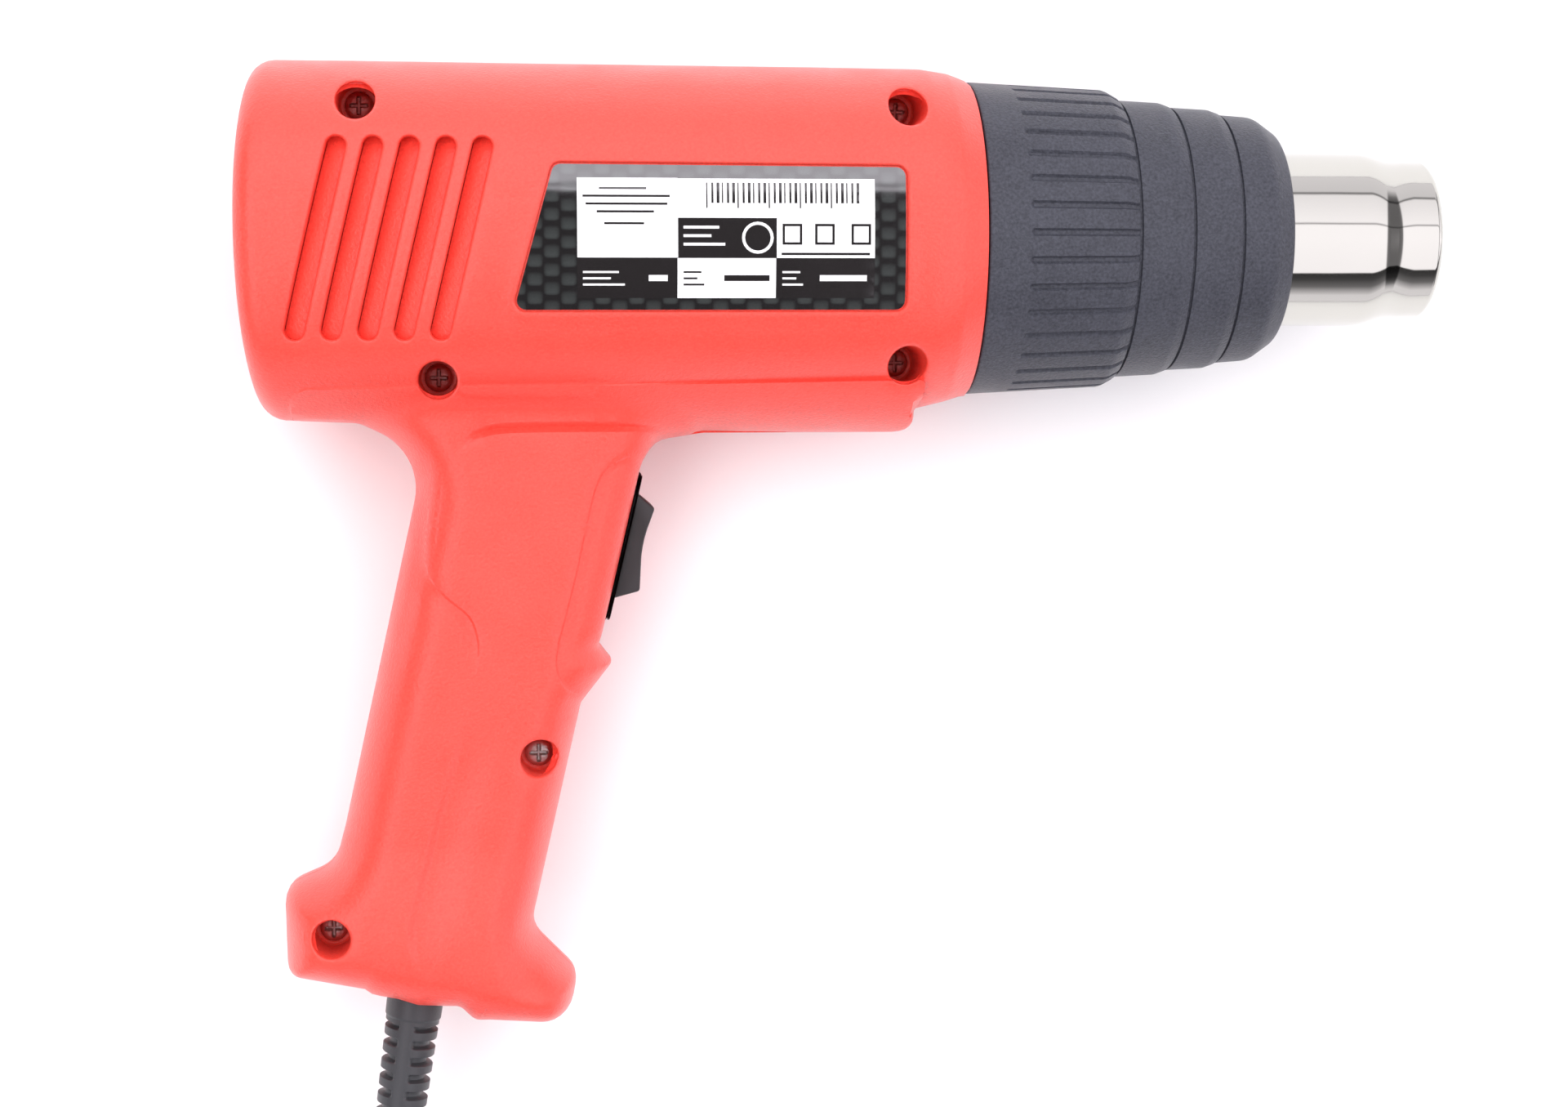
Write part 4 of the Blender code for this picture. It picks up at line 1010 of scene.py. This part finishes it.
def label():
    """A film in its recess, printed with plain blocks, whose mesh keeps to their edges."""
    outline = label_outline(-0.15)
    prints = label_prints()
    points, edges = chained([outline] + [divided(print_outline, 3) for print_outline, _ in prints])
    low, high = np.min(outline, axis=0), np.max(outline, axis=0)
    columns, rows = np.arange(low[0], high[0], 3), np.arange(low[1], high[1], 1.5)
    grid = [(float(x), float(y)) for x in columns for y in rows]
    points += [point for point, gap in zip(grid, signed(grid, outline)) if gap > 0.6]
    flat, faces, middles = triangles(points, edges)
    keep = within(middles, outline)
    faces, middles = faces[keep], middles[keep]
    indices = np.full(len(faces), 2)
    for print_outline, index in prints:
        indices[within(middles, print_outline)] = index
    top = barrel_height(*flat.T) - LABEL_RECESS + LABEL_THICKNESS + 0.05
    count = len(flat)
    points = lifted(flat, top)
    points += [(x, y, z - LABEL_THICKNESS) for x, y, z in points]
    closed = [tuple(face) for face in faces.tolist()]
    rim = [(a, b, b + count, a + count) for a, b in open_sides(closed)]
    slots = indices.tolist() * 2 + [2] * len(rim)
    closed += [tuple(i + count for i in face)[::-1] for face in closed] + rim
    piece("label", points, closed, [PRINT_WHITE, PRINT_INK, FILM], nodes=["rating_label"],
          slot="label_film", indices=slots)


# ---- switch

def seat_loop(length, width, radius, outward):
    """A rounded rectangle square to the switch seat."""
    signs = ((-1, -1), (1, -1), (1, 1), (-1, 1))
    corners = [(sx * length / 2, sy * width / 2, radius) for sx, sy in signs]
    return [seat_point(along, outward, side) for along, side in rounded(corners, 0.4)]


def switch():
    sizes = [
        (27.4, 12.4, 1, -17), (27.4, 12.4, 1, 0.1), (31.6, 14.6, 1.5, 0.1), (32, 15, 1.7, 0.35),
        (32, 15, 1.7, 0.75), (31.8, 14.8, 1.6, 0.98), (31.3, 14.3, 1.4, 1.08),
        (25.4, 12.2, 0.9, 1.08), (24.9, 11.7, 0.8, 0.95), (24.6, 11.4, 0.8, 0.6),
        (24.6, 11.4, 0.8, -8.2),
    ]
    loft("switch", [seat_loop(*size) for size in sizes], [SWITCH_BLACK], nodes=["switch_body"],
         slot="black_plastic")
    profile = rounded([
        (-11.7, 1, 0.3), (-10.4, -2.2, 0.6), (-4, -5.2, 0.6), (4, -5.2, 0.6), (10.4, -2.2, 0.6),
        (11.2, 1, 0.3), (8.5, 6.1, 0.8), (-1.4, 4.3, 26), (-9.5, 5.3, 0.8),
    ], 0.35)
    sides = ((-5.4, 0.93), (-5.25, 0.975), (-4.95, 1), (4.95, 1), (5.25, 0.975), (5.4, 0.93))
    rings = [
        [seat_point(along * (1 - (1 - grow) * 0.5), out * grow, side) for along, out in profile]
        for side, grow in sides
    ]
    loft("rocker_key", rings, [SWITCH_BLACK], body="rocker", nodes=["rocker"], slot="black_plastic")


# ---- screws, relief, cord and plug

SCREW_PROFILE = (
    (1.5, -14), (1.5, 0), (2.9, 0), (2.95, 0.5), (2.85, 1.1), (2.5, 1.6), (2, 1.85), (1.6, 1.95),
    (1.2, 2), (0.8, 2), (0.45, 2), (0.15, 2),
)
CROSS_HALF_WIDTH, CROSS_REACH, CROSS_DEPTH = 0.42, 2, 1.1


def cross_drop(x, y):
    """How deep the cross recess is at a point of a screw's head."""
    near, far = sorted((abs(x), abs(y)))
    across = CROSS_DEPTH * smooth_step((CROSS_HALF_WIDTH - near) / 0.2)
    return across * smooth_step((CROSS_REACH - far) / 0.5)


def screws():
    """Pan heads with a cross recess, at the floors of the wells."""
    for index, (x, y) in enumerate(WELLS):
        rings = []
        for radius, z in SCREW_PROFILE:
            height = WELL_FLOOR_Z + 0.25 + z
            rings.append([
                (x + dx, y + dy, height - (cross_drop(dx, dy) if z > 1.5 else 0))
                for dx, dy in circle((0, 0), radius, 48)
            ])
        loft(f"screw_{index + 1}", rings, [ZINC], nodes=[f"case_screw_{index + 1}"], slot="zinc",
             sharp=50)


def relief_point(along):
    """A point on the strain relief's axis, measured outwards from the grip's end."""
    lean = RELIEF_LEAN
    return (RELIEF_ROOT[0] - along * math.sin(lean), RELIEF_ROOT[1] - along * math.cos(lean), 0)


RELIEF_RADIUS, RELIEF_TAPER = 6.1, 0.9
COLLAR_STEP, COLLAR_END = 0.25, 3.4
FLANGE_HEIGHT, FLANGE_END = 1.5, -3.8
NOTCH_PITCH, NOTCH_LENGTH, NOTCH_DEPTH, NOTCH_START = 3.75, 1.5, 1.5, 5.2
NOTCH_WINDOWS = ((-1.15, 0.62), (1, 0.85))  # angles across the face: middle and half width


def relief():
    """Moulded sleeve with two rows of notches on each face and a plain collar."""
    across = Vector((math.cos(RELIEF_LEAN), -math.sin(RELIEF_LEAN), 0))
    rings = []
    length = RELIEF_LENGTH + RELIEF_INSIDE
    count = round(length / 0.2)
    for row in range(count + 1):
        along = length * row / count - RELIEF_INSIDE
        share = max(0, along) / RELIEF_LENGTH
        radius = RELIEF_RADIUS - COLLAR_STEP * smooth_step((along - COLLAR_END) / 0.6)
        radius += FLANGE_HEIGHT * (along < FLANGE_END) - RELIEF_TAPER * share
        radius *= 1 - 0.12 * smooth_step((along - RELIEF_LENGTH + 1.2) / 1.2)
        phase = (along - NOTCH_START) / NOTCH_PITCH
        near = abs(phase - round(phase)) * NOTCH_PITCH
        notch = (1 - smooth_step((near - NOTCH_LENGTH / 2 + 0.25) / 0.5)) if 5 < along < 42 else 0
        centre = Vector(relief_point(along))
        ring = []
        for turn in angles(96):
            lean = math.atan2(math.sin(turn), abs(math.cos(turn)))
            window = max(1 - smooth_step((abs(lean - middle) - half + 0.08) / 0.14)
                         for middle, half in NOTCH_WINDOWS)
            size = radius - NOTCH_DEPTH * notch * window
            rise = Vector((0, 0, size * math.cos(turn)))
            ring.append(centre + across * size * math.sin(turn) + rise)
        rings.append(ring)
    return loft("relief", rings, [RUBBER], nodes=["strain_relief"], slot="grey_rubber", sharp=60)


COIL_LANES = (47.6, 40.5, 33.4, 33.4, 40.5, 47.6, 47.6)  # radii of the turns, from below
COIL_STEPS, COIL_TURNS, COIL_EXIT = 36, 6.42, 6.26
LANE_SHIFT, LAYER_HEIGHT, EXIT_REACH = 0.2, 7.05, 7.2


def coil_route():
    """Six turns and a bit, in two layers of three, from the coil's left side to its lower right."""
    low = FLOOR_Z + CORD_RADIUS + 1.35
    points = []
    for step in range(round(COIL_TURNS * COIL_STEPS) + 1):
        turns = step / COIL_STEPS
        lane = min(int(turns), 5)
        move = smooth_step((turns - lane - 1 + LANE_SHIFT) / LANE_SHIFT) if turns < 6 else 0
        radius = COIL_LANES[lane] + (COIL_LANES[lane + 1] - COIL_LANES[lane]) * move
        height = low + LAYER_HEIGHT * ((lane >= 3) + (move if lane == 2 else 0))
        leaving = smooth_step((turns - COIL_EXIT) / 0.14) * math.pi / 2
        if turns > 6:
            radius += EXIT_REACH * math.sin(leaving)
            height = CORD_REST_Z + (low - CORD_REST_Z + LAYER_HEIGHT) * math.cos(leaving)
        height -= (1 - smooth_step(turns / 0.1)) * (low - CORD_REST_Z)
        turn = math.pi + math.tau * turns
        x, y = COIL_CENTRE
        points.append((x + radius * math.cos(turn), y + radius * math.sin(turn), height))
    return points


def cord(plug_pieces):
    low, (plug_x, plug_y, plug_z) = CORD_REST_Z, PLUG_START
    lead = [
        relief_point(18), relief_point(32), relief_point(46), relief_point(56), (25, -233, -6.5),
        (21.8, -250, -19), (18.6, -266, -28.8), (14.8, -282, low), (11.4, -300, low),
    ]
    tail = [
        (108.3, -347.2, low), (113.6, -337.5, low + 0.6), (116.6, -326, low + 3.4),
        (plug_x, plug_y - 11, plug_z - 0.6), (plug_x, plug_y - 1, plug_z),
        (plug_x, plug_y + 8, plug_z),
    ]
    route = smooth_line(lead + coil_route() + tail, 4)
    curve = bpy.data.curves.new("cord", "CURVE")
    curve.dimensions = "3D"
    curve.bevel_depth = CORD_RADIUS * MM
    curve.bevel_resolution = 6
    curve.use_fill_caps = True
    spline = curve.splines.new("POLY")
    spline.points.add(len(route) - 1)
    for point, place in zip(spline.points, route):
        point.co = (*world(place), 1)
    spline.use_smooth = True
    curve.materials.append(RUBBER)
    made = bpy.data.objects.new("cord", curve)
    register(made, "root", ["cord_lead", "cord_coil", "cord_end"])


def coil_tie():
    """A flat strap round all turns of the coil, with its free end folded back over the top."""
    turn, centre = Matrix.Rotation(math.radians(60), 3, "Z"), Vector((*COIL_CENTRE, 0))
    low, high = FLOOR_Z + 1.2, FLOOR_Z + 15.75
    inner, outer = 29.6, 51.4
    middle = Vector(((inner + outer) / 2, (low + high) / 2))
    rings = []
    for thick, sides in (
        (0, ((3.9, 0), (3.7, 0), (-3.7, 0), (-3.9, 0))),
        (0.9, ((-4, 0.25), (-3.7, 0), (3.7, 0), (4, 0.25))),
    ):
        ring = rounded([
            (inner - thick, low - thick, 3 + thick), (outer + thick, low - thick, 3 + thick),
            (outer + thick, high + thick, 3 + thick), (inner - thick, high + thick, 3 + thick),
        ], 0.8)
        for side, trim in sides:
            row = []
            for r, z in ring:
                r -= math.copysign(trim, r - middle.x)
                z -= math.copysign(trim, z - middle.y)
                row.append(centre + turn @ Vector((r, side, z)))
            rings.append(row)
    loft("tie", rings, [SWITCH_BLACK], wrap=True, nodes=["coil_tie"], slot="black_plastic")
    end = []
    for along, lift in ((33, 1), (38, 1.1), (44, 1.4), (48.5, 2.2)):
        place = centre + turn @ Vector((along, 0, high + lift))
        wide, thick = turn @ Vector((0, 3.6, 0)), Vector((0, 0, 0.8))
        end.append([place - wide, place + wide, place + wide + thick, place - wide + thick])
    loft("tie_end", end, [SWITCH_BLACK], slot="black_plastic")


def plug():
    """Round-contour two-pin plug lying flat, its pins pointing along +y."""
    start = Vector(PLUG_START)
    profile = [
        (0, 4.4, 4.4, 2), (0.4, 5, 5, 2), (3, 5.2, 5.2, 2), (3.4, 4.6, 4.6, 2),
        (4.6, 4.6, 4.6, 2), (5, 5.5, 5.5, 2), (7, 5.6, 5.6, 2), (7.4, 4.9, 4.9, 2),
        (8.6, 4.9, 4.9, 2), (9, 5.9, 5.9, 2), (11, 6.1, 6, 2), (12.5, 7.4, 6.6, 2.1),
        (14.5, 9.8, 7.8, 2.2), (17, 12.4, 9.2, 2.3), (20, 14.9, 10.6, 2.4), (23, 16.6, 11.5, 2.5),
        (26.5, 17.8, 12.1, 2.5), (30, 18.3, 12.35, 2.5), (36.6, 18.5, 12.5, 2.5),
        (37.5, 18.3, 12.3, 2.5), (38, 17.7, 11.7, 2.5), (38, 14, 9, 2.5),
    ]
    rings = []
    for along, half_width, half_height, power in profile:
        ring = []
        for turn in angles(64):
            side, up = (math.copysign(abs(share) ** (2 / power), share)
                        for share in (math.cos(turn), math.sin(turn)))
            ring.append(start + Vector((half_width * side, along, half_height * up)))
        rings.append(ring)
    made = [loft("plug", rings, [RUBBER], nodes=["plug_body"], slot="grey_rubber")]
    for index, side in enumerate((-9.5, 9.5)):
        rings = [
            [start + Vector((x, along, z)) for x, z in circle((side, 0), radius, 32)]
            for along, radius in ((30, 2.4), (55, 2.4), (56.3, 2.1), (56.9, 1.4), (57, 0.6))
        ]
        made.append(loft(f"pin_{index + 1}", rings, [BRASS], nodes=[f"plug_pin_{index + 1}"],
                         slot="brass"))
    return made


# ---- carried-over CAD nodes

INNER_FINISHES = (
    (ZINC, "motor_can clamp_screw_1 clamp_screw_2"),
    (CHROME, "motor_shaft heating_coil_low heating_coil_high"),
    (WHITE, "fan_impeller fan_duct thermal_cutout"),
    (MICA, "heater_former mica_sleeve heater_base"),
    (BOARD, "rectifier_board"),
    (SWITCH_BLACK, "bridge_rectifier cord_clamp"),
    (RUBBER, "inner_cord"),
    (WIRE_BLUE, "suppression_capacitor neutral_wire"),
    (WIRE_BROWN, "live_wire heater_wire"),
    (BRASS, "switch_terminal_1 switch_terminal_2 switch_terminal_3"),
)


def dress_inner_parts():
    for finish, names in INNER_FINISHES:
        for name in names.split():
            for slot in FRAME["nodes"][name].material_slots:
                slot.material = finish


# ---- floor, light and camera

# The studio's brightness by the angle from straight up, in degrees: towards +y, bright cloth with
# two thin gaps above and a dark opening below, and towards +x, which scales it
STRIPES_UP = (
    (-89, 1.35), (-80, 1.3), (-75, 0.9), (-66, 0.28), (-55, 0.1), (-46.5, 0.06), (-45, 1.9),
    (0, 2), (18.5, 2), (20, 0.5), (22.5, 1.9), (60, 1.6), (63, 0.2), (66, 1.2), (89, 1.3),
)
STRIPES_FORWARD = (
    (-89, 1), (-74, 1), (-70, 0.15), (-42, 0.1), (-36, 0.9), (42, 0.9), (44.5, 0.15), (50.5, 0.1),
    (54, 0.9), (89, 1),
)
# The dark hood round the camera: its reach towards +y and towards +x
HOOD, HOOD_SHADE = ((-36, 17), (-12, 13.3)), 0.96
RAMP_SCALE = 2  # a colour ramp holds no more than 1


def floor():
    bpy.ops.mesh.primitive_plane_add(size=8, location=(0, 0, 0))
    plane = bpy.context.object
    plane.name = "floor"
    paper = bpy.data.materials.new("paper")
    paper.use_nodes = True
    shader = paper.node_tree.nodes["Principled BSDF"]
    shader.inputs["Base Color"].default_value = (0.93, 0.93, 0.93, 1)
    shader.inputs["Roughness"].default_value = 0.7
    shader.inputs["Specular IOR Level"].default_value = 0.1
    plane.data.materials.append(paper)


def sky():
    """The studio round the gun, which polished parts show: bright cloth, its gaps, and the hood."""
    made = bpy.data.worlds.new("studio")
    bpy.context.scene.world = made
    made.use_nodes = True
    tree = made.node_tree
    direction = node(tree, "TexCoord").outputs["Generated"]
    parts = node(tree, "SeparateXYZ", {0: direction})
    calc = partial(maths, tree)
    up_side = calc("ARCTAN2", parts.outputs["Y"], parts.outputs["Z"])
    forward = calc("ARCSINE", parts.outputs["X"])

    def stripes(angle, stops):
        made = node(tree, "ValToRGB", {0: calc("MULTIPLY_ADD", angle, 1 / math.pi, 0.5)})
        for place, value in stops:
            grey = value / RAMP_SCALE
            made.color_ramp.elements.new(0.5 + place / 180).color = (grey, grey, grey, 1)
        made.color_ramp.elements.remove(made.color_ramp.elements[0])
        made.color_ramp.elements.remove(made.color_ramp.elements[-1])
        return calc("MULTIPLY", made.outputs["Color"], RAMP_SCALE)

    cloth = calc("MULTIPLY", stripes(up_side, STRIPES_UP), stripes(forward, STRIPES_FORWARD))

    def between(angle, low, high):
        above = calc("GREATER_THAN", angle, math.radians(low))
        return calc("MULTIPLY", above, calc("LESS_THAN", angle, math.radians(high)))

    hood = calc("MULTIPLY", between(up_side, *HOOD[0]), between(forward, *HOOD[1]))
    strength = calc("MULTIPLY", cloth, calc("MULTIPLY_ADD", hood, -HOOD_SHADE, 1))
    background = tree.nodes["Background"]
    background.inputs["Color"].default_value = (0.97, 0.93, 1, 1)
    tree.links.new(strength, background.inputs["Strength"])


def lamps():
    middle = world(LAMPS_TARGET)
    for name, place, size, power in LAMPS:
        data = bpy.data.lights.new(name, "AREA")
        data.shape = "RECTANGLE"
        data.size, data.size_y = size
        data.energy = power
        light = bpy.data.objects.new(name, data)
        light.location = middle + Vector(place)
        light.rotation_euler = (middle - light.location).to_track_quat("-Z", "Y").to_euler()
        light.visible_glossy = False
        link(light)


def camera():
    """Straight above the barrel's rear half, looking slightly towards the outlet and the grip."""
    place, target = world(CAMERA_PLACE), world(CAMERA_TARGET)
    back = (place - target).normalized()
    side = Vector((0, 1, 0)).cross(back).normalized()
    data = bpy.data.cameras.new("camera")
    data.lens = CAMERA_LENS
    data.clip_start, data.clip_end = 0.01, 20
    made = bpy.data.objects.new("camera", data)
    axes = Matrix((side, back.cross(side), back)).transposed()
    made.matrix_world = Matrix.Translation(place) @ axes.to_4x4()
    link(made)
    bpy.context.scene.camera = made
    bpy.context.scene.view_settings.view_transform = "Standard"


floor()
sky()
lamps()
camera()
coil_tie()
cord([relief()] + plug())
shell("right_shell", True)
shell("left_shell", False)
guard()
nozzle()
label()
switch()
screws()
dress_inner_parts()
